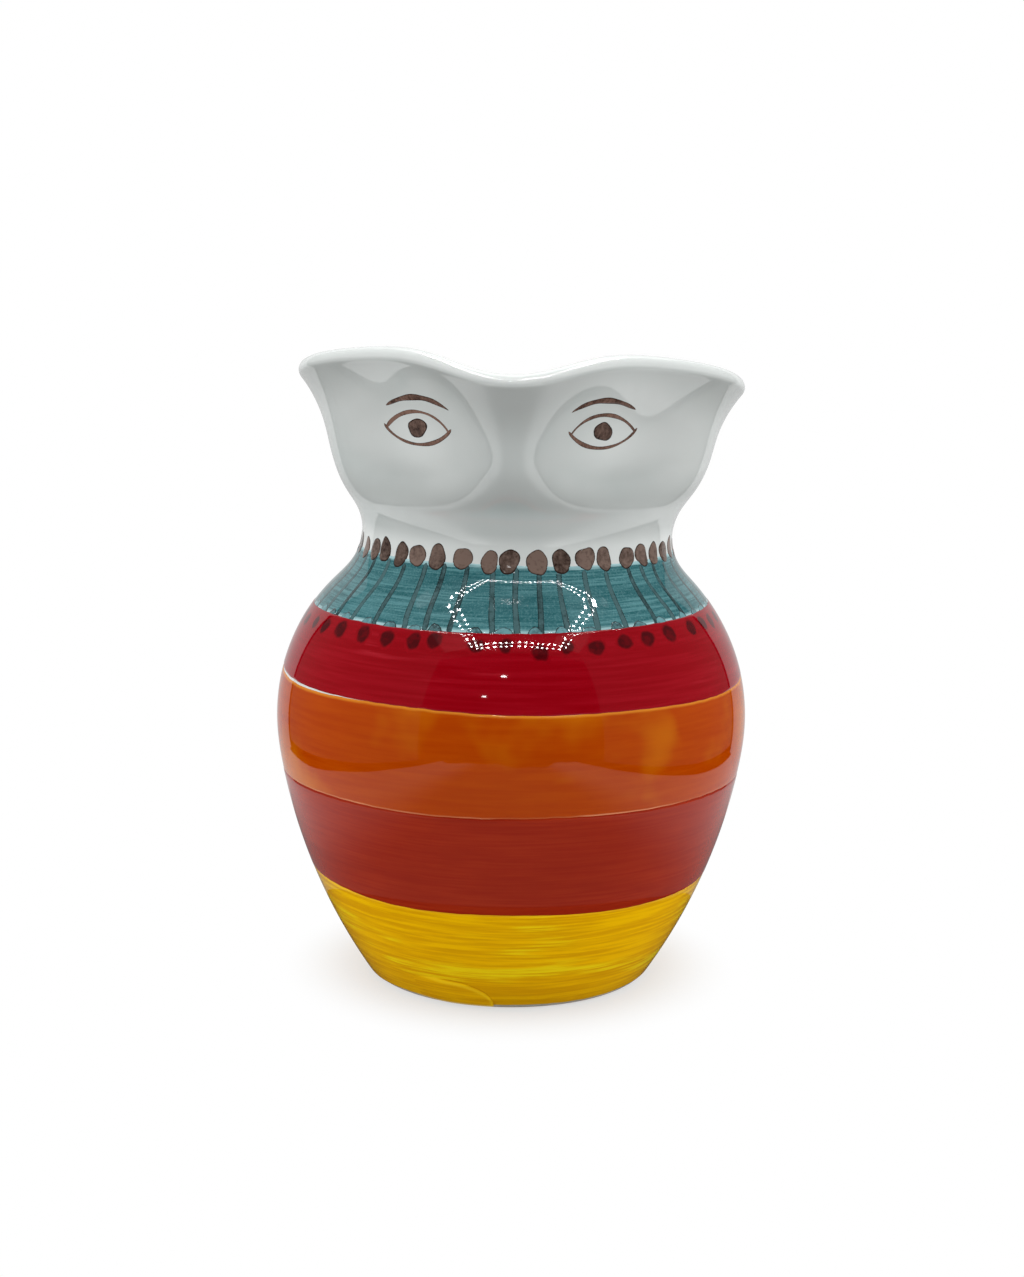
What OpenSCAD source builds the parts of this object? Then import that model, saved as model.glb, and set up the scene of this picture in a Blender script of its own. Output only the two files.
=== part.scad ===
// Glazed face jug: a thrown belly, a pinched head with a spout, a pulled strap
// handle at the back, and the fired colour coats and brush marks on them.
// Millimetres, +Z up, the spout faces -Y, the origin is the middle of the foot.

/* [Belly] */
// Diameter of the belly at its widest
belly_d = 148.4; // [144:0.2:154]
// Height of the widest place above the table
belly_z = 82.8; // [78:0.2:88]
// Radius of the arc round the widest place and the shoulder
shoulder_r = 61; // [58:0.2:64]
// Angle below the widest place where the flatter flank takes over
flank_angle = 8.7; // [7:0.1:12]
// Thickness of the clay wall
wall = 5; // [4:0.1:6]

/* [Foot] */
// Diameter of the foot where the flank would meet the table
foot_d = 89.4; // [84:0.2:94]
// Radius of the rounded edge round the foot
foot_edge_r = 3; // [1.5:0.1:4]
// Width of the ring that the jug stands on
foot_ring_w = 9; // [6:0.5:14]
// Depth of the recess turned out inside the ring
foot_recess = 1.6; // [0.6:0.1:2.4]
// Thickness of the floor above the table
floor_t = 7; // [5:0.2:9]
// Radius of the hollow where the floor turns up into the wall
floor_edge_r = 14; // [8:0.5:18]

/* [Neck and head] */
// Diameter of the neck at its narrowest
neck_d = 96.8; // [93:0.2:101]
// Radius of the hollow round the neck
neck_r = 17.2; // [14:0.2:20]
// Height of the luted seam above the narrowest place
seat_rise = 6; // [4:0.2:8]
// Lean of the wall, out from upright, where the neck turns into the cheek
cheek_lean = 42; // [39:0.5:45]
// Radius of the rounded cheek
cheek_r = 30.4; // [27:0.2:33]
// Lean of the wall where the cheek turns into the flared rim
waist_lean = 9.8; // [8:0.2:13]
// Radius of the hollow flare under the rim
flare_r = 41.2; // [37:0.2:45]
// Lean of the wall at the rim
rim_lean = 39; // [36:0.5:42]
// How far the whole head stands to one side of the belly's axis
head_sway = 1.9; // [0:0.1:4]

/* [Mouth and spout] */
// Turn of the spout from straight ahead
spout_turn = -3; // [-6:0.5:6]
// Angle from the spout to each pinch beside it
pinch_angle = 40; // [36:0.5:46]
// Half width of each pinch, as an angle
pinch_spread = 18; // [15:0.5:22]
// How deep the two pinches are pressed in
pinch_depth = 12; // [6:0.2:14]
// How far each pinch eases out again at the rim
pinch_ease = 3; // [0:0.2:5]
// How far the spout's ridge is drawn out between the pinches
spout_draw = 3.4; // [0:0.2:5]
// Half width of the spout's ridge, as an angle
spout_spread = 10.5; // [9:0.5:16]
// How much higher the front of the rim is than the back
rim_lift = 13; // [8:0.2:15]
// How deep the pouring lip dips between the lobes
lip_dip = 6.3; // [3:0.1:8]
// Half width of the dip, as an angle
dip_spread = 13; // [10:0.5:17]
// Slant of the rim, down to one side
rim_tilt = 1.2; // [0:0.1:2]

/* [Handle] */
// Width of the strap
handle_w = 23; // [19:0.5:28]
// Thickness of the strap
handle_t = 9.5; // [8:0.5:11]
// How far below the rim the upper end is luted on, at its middle
handle_top_drop = 17.6; // [14.6:0.2:20.6]
// How far below the teal collar the lower end is luted on, at its middle
handle_foot_drop = 11.6; // [10:0.2:13]
// How far the upper bend pulls out behind the head
handle_pull_top = 54; // [44:1:64]
// How far the upper bend pulls up
handle_rise = 11; // [4:1:14]
// How far the lower bend pulls out behind the belly
handle_pull_foot = 44; // [34:1:54]
// How far the lower bend pulls up
handle_lift = 19; // [12:1:26]
// Depth of the thumb groove down the strap's outer face
groove_depth = 1.2; // [0.4:0.1:2]

/* [Colour coats] */
// Thickness of a fired colour coat
coat_t = 0.4; // [0.3:0.05:0.6]
// Height of the bare edge under the yellow band
yellow_z = 2.6; // [2.2:0.1:4]
// Height of the edge between the yellow and the lower red band
lower_red_z = 35.4; // [30:0.2:40]
// How far below the belly's widest place the orange band starts
orange_drop = 16; // [12:0.2:20]
// How far above the belly's widest place the upper red band starts
upper_red_rise = 15; // [12:0.2:17]
// How far below the neck's narrowest place the teal collar ends
teal_drop = 5.4; // [4:0.2:8]
// Height of the teal collar
teal_h = 16.2; // [14:0.2:17]

/* [Brush marks] */
// Thickness of a brush mark
mark_t = 0.4; // [0.3:0.05:0.6]
// Number of dabs round the neck
upper_bead_count = 42; // [36:1:46]
// Width of a dab at its broad end
upper_bead_w = 5.4; // [4:0.1:6]
// Height of a dab
upper_bead_h = 7.4; // [6.2:0.1:8.2]
// Number of strokes down the collar
stroke_count = 44; // [36:1:50]
// Width of a stroke
stroke_w = 1.4; // [0.8:0.1:2]
// Number of dabs under the collar
lower_bead_count = 44; // [36:1:48]
// Width of a dab under the collar
lower_bead_w = 3.2; // [2.4:0.1:4]
// Height of a dab under the collar
lower_bead_h = 5.4; // [4.2:0.1:6.4]
// Bare strip between a row of dabs and the collar's edge
bead_gap = 0.4; // [0.2:0.1:1]

/* [Painted eyes] */
// Distance from the spout's ridge to the middle of each eye
eye_x = 27; // [24:0.5:29]
// How far below the rim the eyes are
eye_drop = 12.2; // [9.2:0.2:15.2]
// Width of an eye from corner to corner
eye_w = 20; // [16:0.5:22]
// Height of an eye
eye_h = 11; // [8:0.5:13]
// Width of the brush line
line_w = 1.2; // [0.8:0.1:1.8]
// Diameter of a pupil
pupil_d = 6; // [4:0.2:7]
// Height of the brow line above the eye's middle
brow_rise = 10; // [9:0.5:11]
// Width of the brow line from end to end
brow_w = 19; // [14:0.5:22]
// Thickness of the brow line at its middle
brow_t = 1.6; // [1:0.1:2.4]

/* [Hidden] */
$fn = 96;

// Allowance by which a cutting shape passes the faces it cuts
overrun = 1;

// The belly's outline: foot edge, flank, shoulder and neck arcs, each tangent to the next.
// Each arc bites a hair into its neighbour, so that the two outlines cross and leave no step.
seam_bite = 0.006;
belly_r = belly_d / 2;
shoulder_c = [belly_r - shoulder_r, belly_z];
flank_dir = [cos(flank_angle), -sin(flank_angle)];
flank_top = shoulder_c + shoulder_r * flank_dir;
flank_chord = flank_top - [foot_d / 2, 0];
flank_r = (flank_chord * flank_chord) / (2 * (flank_dir * flank_chord));
flank_c = flank_top - (flank_r + seam_bite) * flank_dir;
neck_reach = shoulder_r + neck_r - seam_bite;
neck_out = neck_d / 2 + neck_r - shoulder_c[0];
neck_c = shoulder_c + [neck_out, sqrt(pow(neck_reach, 2) - pow(neck_out, 2))];
neck_dir = (neck_c - shoulder_c) / neck_reach;
seat_z = neck_c[1] + seat_rise;

// The colour bands' edges, measured from the belly's widest place and from the neck
orange_z = belly_z - orange_drop;
upper_red_z = belly_z + upper_red_rise;
teal_top_z = neck_c[1] - teal_drop;
teal_z = teal_top_z - teal_h;

// The head's thrown outline: the neck's arc goes on into the cheek and the flare
cheek_dir = [cos(cheek_lean), -sin(cheek_lean)];
cheek_c = neck_c - (neck_r + cheek_r) * cheek_dir;
waist_dir = [cos(waist_lean), -sin(waist_lean)];
flare_c = cheek_c + (cheek_r + flare_r) * waist_dir;
rim_dir = [cos(rim_lean), -sin(rim_lean)];
lip_c = flare_c - (flare_r + wall / 2) * rim_dir;
waist_z = (cheek_c + cheek_r * waist_dir)[1];
cheek_z = (cheek_c + cheek_r * cheek_dir)[1];
rim_z = lip_c[1];

// How the hand-formed mouth grows with height, as shares of the cheek's own height
pinch_full_share = 0.8;
sway_full_share = 0.5;
pinch_full_z = cheek_z + (waist_z - cheek_z) * pinch_full_share;
sway_full_z = cheek_z + (waist_z - cheek_z) * sway_full_share;
// The rim's rise at the front keeps level across the lobes and falls off past this angle
lift_spread = 88;
// Turns of the head's side and of the handle from straight ahead
side_turn = 90;
handle_turn = 180;

// Steps of the head's section and round the head
round_steps = 96;
arc_steps = 240;
neck_steps = 3;
cheek_steps = 6;
flare_steps = 6;
lip_steps = 6;

// Hair's breadth between a curved face and the coat or mark that lies on it
skin_gap = 0.05;
coat_top = skin_gap + coat_t;

// The handle's sweep
handle_steps = 30;
handle_sides = 20;
handle_sink = 5.5;
handle_top_z = rim_z - handle_top_drop;
handle_foot_z = teal_z - handle_foot_drop;
coat_gap = 0.15;
handle_flare_share = 0.3;
handle_flare_length_share = 0.1;
groove_width_share = 0.35;
plug_half_turn = 30;

// The brush marks' own shapes
eye_z = rim_z - eye_drop;
eye_half_turn = 26;
dab_side_share = 0.72;
mark_start_share = 0.5;
brow_sag_share = 0.2;
brow_sag = brow_w * brow_sag_share;
brow_spare_share = 0.02;
brow_spare = brow_t * brow_spare_share;

// Smooth step from 0 at a to 1 at b, a bell curve of half width w, and a flat-topped bell
function ramp(x, a, b) = let (t = min(1, max(0, (x - a) / (b - a)))) t * t * (3 - 2 * t);
function bell(x, w) = exp(-pow(x / w, 2) / 2);
function plateau(turn) = exp(-pow(turn / lift_spread, 4));

// Points on an arc of the head's section, from one lean of the wall to another
function arc_points(c, r, lean_a, lean_b, steps) =
    [for (i = [0:steps]) let (a = lean_a + (lean_b - lean_a) * i / steps) c + r * [cos(a), -sin(a)]];

// The thrown section's wall, moved out by grow: neck, cheek and flare arcs from seam to rim
function wall_points(grow) = let (
    hollow_r = neck_r - grow,
    seat_lean = asin(seat_rise / hollow_r)
) concat(
    arc_points(neck_c, -hollow_r, seat_lean, cheek_lean, neck_steps),
    [for (i = [1:cheek_steps]) let (a = cheek_lean + (waist_lean - cheek_lean) * i / cheek_steps)
        cheek_c + (cheek_r + grow) * [cos(a), -sin(a)]],
    [for (i = [1:flare_steps]) let (a = waist_lean + (rim_lean - waist_lean) * i / flare_steps)
        flare_c - (flare_r - grow) * [cos(a), -sin(a)]]
);

// The rounded lip between the outer and the inner wall
function lip_points() = [for (i = [1:lip_steps - 1]) let (a = rim_lean - 180 * i / lip_steps)
    lip_c + wall / 2 * [cos(a), -sin(a)]];

function upper_rows(list) = [for (i = [neck_steps + 2:len(list) - 1]) list[i]];
function reversed(list) = [for (i = [len(list) - 1:-1:0]) list[i]];

// How deep the pinches are at a height
function pinch_at(z) = pinch_depth * ramp(z, cheek_z, pinch_full_z) - pinch_ease * ramp(z, waist_z, rim_z);

// A point of the thrown section, at a turn from straight ahead, after the mouth is formed by hand
function formed(p, turn) = let (
    s = turn > 180 ? turn - 360 - spout_turn : turn - spout_turn,
    squeeze = pinch_at(p[1]) * (bell(s - pinch_angle, pinch_spread) + bell(s + pinch_angle, pinch_spread)),
    draw = spout_draw * ramp(p[1], cheek_z, pinch_full_z) * bell(s, spout_spread),
    r = p[0] - squeeze + draw,
    grown = ramp(p[1], cheek_z, rim_z),
    lift = rim_lift * (plateau(s) - plateau(side_turn)) - lip_dip * bell(s, dip_spread),
    x = r * sin(turn)
) [x + head_sway * ramp(p[1], seat_z, sway_full_z), -r * cos(turn),
    p[1] + grown * (lift - x * tan(rim_tilt))];

// Where the back of the head and the back of the belly are at a height
function head_back(z) = let (pts = wall_points(0)) lookup(z, [for (p = pts) [p[1], p[0]]]);
function belly_back(z) = shoulder_c[0] + sqrt(pow(shoulder_r, 2) - pow(z - shoulder_c[1], 2));

// The handle's middle line, a curve pulled out behind the head and in again to the belly
handle_start = [head_back(handle_top_z) - handle_sink, handle_top_z];
handle_end = [belly_back(handle_foot_z) - handle_sink, handle_foot_z];
handle_pull = [
    handle_start,
    handle_start + [handle_pull_top, handle_rise],
    handle_end + [handle_pull_foot, handle_lift],
    handle_end
];
function bezier(p, t) = pow(1 - t, 3) * p[0] + 3 * pow(1 - t, 2) * t * p[1]
    + 3 * (1 - t) * t * t * p[2] + pow(t, 3) * p[3];
function bezier_way(p, t) = let (
    v = pow(1 - t, 2) * (p[1] - p[0]) + 2 * (1 - t) * t * (p[2] - p[1]) + t * t * (p[3] - p[2])
) v / norm(v);
function handle_swell(t) = 1 + handle_flare_share
    * (bell(t, handle_flare_length_share) + bell(1 - t, handle_flare_length_share));

// The strap's outline across its run: an oval with a thumb groove in its outer face
function handle_outline(t) = [for (k = [0:handle_sides - 1]) let (
    a = 360 * k / handle_sides,
    groove = groove_depth * max(0, sin(a)) * bell(cos(a), groove_width_share)
) [handle_w / 2 * handle_swell(t) * cos(a), handle_t / 2 * handle_swell(t) * sin(a) - groove]];

// One ring of the strap, where its middle line is at t
function handle_ring(t) = let (
    mid = bezier(handle_pull, t),
    way = bezier_way(handle_pull, t),
    out = [-way[1], way[0]],
    sway = head_sway * (1 - ramp(t, 0, 1))
) [for (q = handle_outline(t)) let (p = mid + q[1] * out) [sway + q[0], p[0], p[1]]];

// Triangles over a grid of points: rows of cols, joined end to end where asked
function grid_faces(rows, cols, start, flip) = [for (i = [0:rows - 2], j = [0:cols - 2]) let (
    a = start + i * cols + j,
    b = a + 1,
    c = a + cols + 1,
    d = a + cols
) each flip ? [[a, b, c], [a, c, d]] : [[a, c, b], [a, d, c]]];
function ring_faces(rows, cols, closed) = [for (i = [0:rows - (closed ? 1 : 2)], j = [0:cols - 1]) let (
    ii = (i + 1) % rows,
    jj = (j + 1) % cols,
    a = i * cols + j,
    b = i * cols + jj,
    c = ii * cols + jj,
    d = ii * cols + j
) each [[a, c, b], [a, d, c]]];

// Triangles that close the rim between two like grids
function rim_faces(rows, cols) = let (
    loop = concat(
        [for (j = [0:cols - 2]) j],
        [for (i = [0:rows - 2]) i * cols + cols - 1],
        [for (j = [cols - 1:-1:1]) (rows - 1) * cols + j],
        [for (i = [rows - 1:-1:1]) i * cols]
    ),
    n = len(loop),
    far = rows * cols
) [for (k = [0:n - 1]) let (
    a = loop[k],
    b = loop[(k + 1) % n]
) each [[a, b, far + b], [a, far + b, far + a]]];

// A stretch of the head's wall between two depths, from the cheek to the rim, on the head's own points
module head_patch(grow_in, grow_out, turn_a, turn_b) {
    step = 360 / round_steps;
    turns = [for (i = [round(turn_a / step):round(turn_b / step)]) i * step];
    inside = upper_rows(wall_points(grow_in));
    outside = upper_rows(wall_points(grow_out));
    rows = len(turns);
    cols = len(outside);
    points = concat(
        [for (a = turns, p = inside) formed(p, a)],
        [for (a = turns, p = outside) formed(p, a)]
    );
    polyhedron(points, concat(
        grid_faces(rows, cols, 0, false),
        grid_faces(rows, cols, rows * cols, true),
        rim_faces(rows, cols)
    ));
}

// Middle of the rounded edge between a flank moved out by grow and a floor at base_z
function edge_middle(grow, base_z, edge_r) = let (
    way = flank_r + grow - edge_r + seam_bite,
    z = base_z + edge_r
) [flank_c[0] + sqrt(pow(way, 2) - pow(z - flank_c[1], 2)), z];

// Half section of all that lies inside the belly's surface moved out by grow, from base_z to top_z
module belly_section(grow, base_z, edge_r, top_z) {
    flank_out = flank_r + grow;
    edge_c = edge_middle(grow, base_z, edge_r);
    edge_top = flank_c[1] + flank_out * (edge_c[1] - flank_c[1]) / norm(edge_c - flank_c);
    flank_end = shoulder_c[1] + (shoulder_r + grow) * flank_dir[1];
    shoulder_end = shoulder_c[1] + (shoulder_r + grow) * neck_dir[1];
    intersection() {
        section_slab(base_z, top_z);
        union() {
            section_slab(edge_top, top_z);
            translate([0, base_z]) square([edge_c[0], edge_r]);
            translate(edge_c) circle(edge_r);
        }
        union() {
            translate(shoulder_c) circle(shoulder_r + grow, $fn = arc_steps);
            intersection() {
                section_slab(base_z, flank_end);
                translate(flank_c) circle(flank_out, $fn = arc_steps);
            }
            difference() {
                translate([0, shoulder_end]) square([neck_c[0], top_z - shoulder_end]);
                translate(neck_c) circle(neck_r - grow, $fn = arc_steps);
            }
        }
    }
}

module section_slab(z0, z1) {
    translate([0, z0]) square([belly_d, z1 - z0]);
}

module belly_form() {
    rotate_extrude() belly_section(0, 0, foot_edge_r, seat_z);
}

// A skin on the belly between two depths and two heights
module belly_skin(grow_in, grow_out, z0, z1) {
    rotate_extrude() intersection() {
        section_slab(z0, z1);
        difference() {
            belly_section(grow_out, 0, foot_edge_r, seat_z);
            belly_section(grow_in, 0, foot_edge_r, seat_z);
        }
    }
}

// A brush dab in outline: two long sides and two rounder ends
module dab(w, h) {
    side_r = h * dab_side_share;
    translate([0, h / 2]) intersection() {
        circle(h / 2);
        translate([side_r - w / 2, 0]) circle(side_r);
        translate([w / 2 - side_r, 0]) circle(side_r);
    }
}

// Copies of a mark, standing at a height and pointing out all round the jug
module marks_round(count, z) {
    for (i = [0:count - 1]) rotate(360 / count * (i + mark_start_share))
        translate([0, wall - neck_d / 2, z]) rotate([90, 0, 0]) linear_extrude(belly_d) children();
}

// Almond outline between two arcs of equal radius
module almond(w, h, inset) {
    r = (w * w + h * h) / (4 * h);
    intersection_for (s = [-1, 1]) translate([0, s * (r - h / 2)]) circle(r - inset);
}

// Thin crescent of a brow
module brow_shape() {
    r = (brow_w * brow_w / 4 + brow_sag * brow_sag) / (2 * brow_sag);
    difference() {
        translate([0, -r]) circle(r);
        translate([0, -r - brow_t]) circle(r + brow_spare);
        translate([-r - overrun, -2 * r - overrun]) square([2 * (r + overrun), 2 * r - brow_sag + overrun]);
    }
}

// Both eyes' places on the head's front, each mark sunk into the skin from the front
module at_eyes() {
    head_out = head_back(eye_z);
    ridge_x = head_sway + head_out * sin(spout_turn);
    eye_turn = asin(eye_x / head_out);
    for (s = [-1, 1]) intersection() {
        head_patch(0, mark_t, s * eye_turn - eye_half_turn, s * eye_turn + eye_half_turn);
        translate([ridge_x + s * eye_x, 0, eye_z]) rotate([90, 0, 0])
            linear_extrude(belly_d) children();
    }
}

module belly() {
    recess_r = edge_middle(0, 0, foot_edge_r)[0] - foot_ring_w;
    color("ivory") rotate_extrude() difference() {
        belly_section(0, 0, foot_edge_r, seat_z);
        belly_section(-wall, floor_t, floor_edge_r, seat_z + overrun);
        translate([0, -overrun]) square([recess_r, foot_recess + overrun]);
    }
}

module head() {
    section = concat(wall_points(0), lip_points(), reversed(wall_points(-wall)));
    turns = [for (i = [0:round_steps - 1]) 360 / round_steps * i];
    color("ivory") polyhedron(
        [for (a = turns, p = section) formed(p, a)],
        ring_faces(round_steps, len(section), true)
    );
}

// The strap as pulled, with both ends run into the clay
module handle_sweep() {
    rings = [for (i = [0:handle_steps]) handle_ring(i / handle_steps)];
    last = handle_steps * handle_sides;
    polyhedron(
        [for (r = rings) each r],
        concat(
            ring_faces(handle_steps + 1, handle_sides, false),
            [for (k = [1:handle_sides - 2]) [0, k, k + 1]],
            [for (k = [1:handle_sides - 2]) [last, last + k + 1, last + k]]
        )
    );
}

// The way that the handle's lower end takes through the colour coat
module handle_foot_way() {
    way = handle_end - handle_pull[2];
    translate([0, handle_end[0], handle_end[1]]) rotate([atan2(way[0], -way[1]), 0, 0])
        linear_extrude(handle_pull_foot) polygon([for (p = handle_outline(1)) p + coat_gap * p / norm(p)]);
}

module handle() {
    color("ivory") difference() {
        handle_sweep();
        head_patch(-2 * handle_sink, 0, handle_turn - plug_half_turn, handle_turn + plug_half_turn);
        belly_form();
    }
}

module yellow_band() {
    color("goldenrod") belly_skin(skin_gap, coat_top, yellow_z, lower_red_z);
}

module lower_red_band() {
    color("firebrick") belly_skin(skin_gap, coat_top, lower_red_z, orange_z);
}

module orange_band() {
    color("darkorange") difference() {
        belly_skin(skin_gap, coat_top, orange_z, upper_red_z);
        handle_foot_way();
    }
}

module upper_red_band() {
    color("crimson") difference() {
        belly_skin(skin_gap, coat_top, upper_red_z, teal_z);
        handle_foot_way();
    }
}

module teal_collar() {
    color("cadetblue") belly_skin(skin_gap, coat_top, teal_z, teal_top_z);
}

module upper_beads() {
    color("dimgray") intersection() {
        rotate(-90) belly_skin(skin_gap, skin_gap + mark_t, teal_top_z, seat_z);
        marks_round(upper_bead_count, teal_top_z + bead_gap) dab(upper_bead_w, upper_bead_h);
    }
}

module collar_strokes() {
    color("darkslategray") intersection() {
        rotate(-90) belly_skin(coat_top + skin_gap, coat_top + skin_gap + mark_t, teal_z, teal_top_z);
        marks_round(stroke_count, teal_z - overrun)
            translate([-stroke_w / 2, 0]) square([stroke_w, teal_top_z - teal_z + 2 * overrun]);
    }
}

module lower_beads() {
    color("maroon") intersection() {
        rotate(-90) belly_skin(coat_top + skin_gap, coat_top + skin_gap + mark_t, upper_red_z, teal_z);
        marks_round(lower_bead_count, teal_z - bead_gap - lower_bead_h) dab(lower_bead_w, lower_bead_h);
    }
}

module eye_outlines() {
    color("saddlebrown") at_eyes() difference() {
        almond(eye_w, eye_h, 0);
        almond(eye_w, eye_h, line_w);
    }
}

module pupils() {
    color("saddlebrown") at_eyes() circle(d = pupil_d);
}

module brows() {
    color("saddlebrown") at_eyes() translate([0, brow_rise]) brow_shape();
}

belly();
head();
handle();
yellow_band();
lower_red_band();
orange_band();
upper_red_band();
teal_collar();
upper_beads();
collar_strokes();
lower_beads();
eye_outlines();
pupils();
brows();
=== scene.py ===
"""Glazed face jug: thrown belly and pinched head, pulled handle, painted bands and brush marks.

Lengths are millimetres until a mesh is made, in the frame's own axes: +Z up, the spout faces -Y.
A turn is an angle round the jug's axis, in radians, from straight ahead (-Y) towards +X.
A rise is the angle of a wall's outward normal above the horizon, and a run is the length along
the jug's outer outline, up from the foot's rounded edge.
"""

import math

import bpy
import numpy as np
from mathutils import Matrix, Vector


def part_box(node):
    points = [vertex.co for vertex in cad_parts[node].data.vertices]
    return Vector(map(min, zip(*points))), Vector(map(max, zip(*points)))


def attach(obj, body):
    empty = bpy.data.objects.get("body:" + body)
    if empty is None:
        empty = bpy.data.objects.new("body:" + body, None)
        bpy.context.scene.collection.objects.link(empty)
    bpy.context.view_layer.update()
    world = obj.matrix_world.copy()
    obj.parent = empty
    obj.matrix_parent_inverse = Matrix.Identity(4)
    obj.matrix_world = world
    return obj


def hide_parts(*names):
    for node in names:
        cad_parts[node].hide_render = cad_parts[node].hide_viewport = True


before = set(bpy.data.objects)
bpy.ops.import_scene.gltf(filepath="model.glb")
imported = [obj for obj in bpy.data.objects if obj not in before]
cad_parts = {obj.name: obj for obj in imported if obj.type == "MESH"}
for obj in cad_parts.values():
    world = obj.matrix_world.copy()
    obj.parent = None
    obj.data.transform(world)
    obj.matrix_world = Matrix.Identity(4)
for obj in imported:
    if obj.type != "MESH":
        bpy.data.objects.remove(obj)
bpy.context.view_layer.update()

MM = 0.001
DEGREE = math.pi / 180


# Sizes that the frame gives

def node_box(node):
    """Lowest and highest corner of a CAD node, in millimetres."""
    return np.array([list(corner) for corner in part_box(node)]) / MM


BELLY_LOW, BELLY_HIGH = node_box("belly")
BELLY_R = (BELLY_HIGH[0] - BELLY_LOW[0]) / 2
SEAT_Z = BELLY_HIGH[2]
YELLOW_LOW, YELLOW_TOP = node_box("yellow_band")[:, 2]
LOWER_RED_TOP = node_box("lower_red_band")[1, 2]
ORANGE_TOP = node_box("orange_band")[1, 2]
UPPER_RED_TOP = node_box("upper_red_band")[1, 2]
TEAL_TOP = node_box("teal_collar")[1, 2]
PUPIL_LOW, PUPIL_HIGH = node_box("pupils")
BROW_LOW, BROW_HIGH = node_box("brows")

# Sizes of the thrown outline

WALL = 5.0
BELLY_Z = 82.8
SHOULDER_R = 61.0
FLANK_RISE = -8.7 * DEGREE
FOOT_R = 44.7
FOOT_EDGE_R = 3.0
FOOT_RING_W = 9.0
FOOT_RECESS = 1.6
FOOT_BEVEL = 0.4
FLOOR_T = 7.0
FLOOR_EDGE_R = 14.0
NECK_D = 96.8
NECK_R = 17.2
CHEEK_RISE = -42 * DEGREE
CHEEK_R = 30.4
WAIST_RISE = -9.8 * DEGREE
FLARE_R = 41.2
RIM_RISE = -39 * DEGREE
SOFT_REACH = 4.5

# Sizes of the hand-formed mouth

SWAY = 1.9
SWAY_LOW_Z = 112.0
SWAY_TOP_Z = 160.0
SPOUT_TURN = -3 * DEGREE
PINCH_TURN = 40 * DEGREE
PINCH_SPREAD = 18 * DEGREE
PINCH_DEPTH = 12.0
PINCH_EASE = 3.0
PINCH_FULL_SHARE = 0.8
SPOUT_DRAW = 3.4
SPOUT_SPREAD = 10.5 * DEGREE
RIM_LIFT = 13.0
LIFT_SPREAD = 88 * DEGREE
LIP_DIP = 6.3
DIP_SPREAD = 13 * DEGREE
RIM_TILT = 1.2 * DEGREE

# Sizes of the handle

HANDLE_W = 23.0
HANDLE_T = 9.5
HANDLE_TOP_DROP = 17.6
HANDLE_FOOT_DROP = 11.6
HANDLE_PULL_TOP = (54.0, 11.0)
HANDLE_PULL_FOOT = (44.0, 19.0)
HANDLE_SINK = 5.5
HANDLE_SEAT = 2.0
GROOVE_DEPTH = 1.2

# Sizes of the painted bands

COLUMNS = 288
COAT_T = 0.2
RED_T = 0.25
TEAL_T = 0.12
COAT_SINK = 0.2
COAT_DROP = 0.01
COAT_FEATHER = 0.7
YELLOW_OVERLAP = 0.3
BRICK_OVERLAP = 0.1
ORANGE_OVERLAP = 0.2
CRIMSON_OVERLAP = 0.3
COLLAR_OVERLAP = 1.3
SLIT_W = 0.85
SLIT_TURN = -66 * DEGREE
SLIT_SPREAD = 17 * DEGREE

rng = np.random.default_rng(41)


# Plain curves

def ramp(x, low, high):
    """Smooth step: 0 up to low, 1 from high, and 3t^2 - 2t^3 between them."""
    t = np.clip((x - low) / (high - low), 0.0, 1.0)
    return t * t * (3 - 2 * t)


def bell(x, spread):
    """Bell curve of height 1 whose half width is spread."""
    return np.exp(-((x / spread) ** 2) / 2)


def plateau(turn):
    """Flat-topped bell that keeps near 1 across the front and falls off past LIFT_SPREAD."""
    return np.exp(-((turn / LIFT_SPREAD) ** 4))


def domed(x):
    """Rise from 0 at 0 to a level 1 from 1 on: 1 - (1 - x)^2."""
    return 1 - (1 - np.clip(x, 0, 1)) ** 2


def around(count):
    """Angles of count places spread evenly round a circle."""
    return np.arange(count) * 2 * math.pi / count


def wrapped(turn):
    """The same turn, between half a turn back and half a turn on."""
    return np.angle(np.exp(1j * turn))


def waver(turn, first, last, size, seed):
    """Hand wobble round the jug: sines of first to last waves a turn, with seeded phases, size high."""
    waves = np.arange(first, last + 1)
    phases = np.random.default_rng(seed).uniform(0, 2 * math.pi, len(waves))
    total = np.sin(np.multiply.outer(turn, waves) + phases).sum(axis=-1)
    return size * total / math.sqrt(len(waves))


# The thrown outline, as rows of radius and height

def unit(rise):
    """Direction in the half section at an angle above the horizon."""
    return np.array([math.cos(rise), math.sin(rise)])


def arc(centre, radius, start, end, spacing):
    """Rows on an arc: centre + radius * (cos rise, sin rise), with a negative radius for a hollow."""
    count = max(2, int(abs(radius * (end - start)) / spacing) + 1)
    rise = np.linspace(start, end, count)
    return centre + radius * np.column_stack([np.cos(rise), np.sin(rise)])


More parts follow.
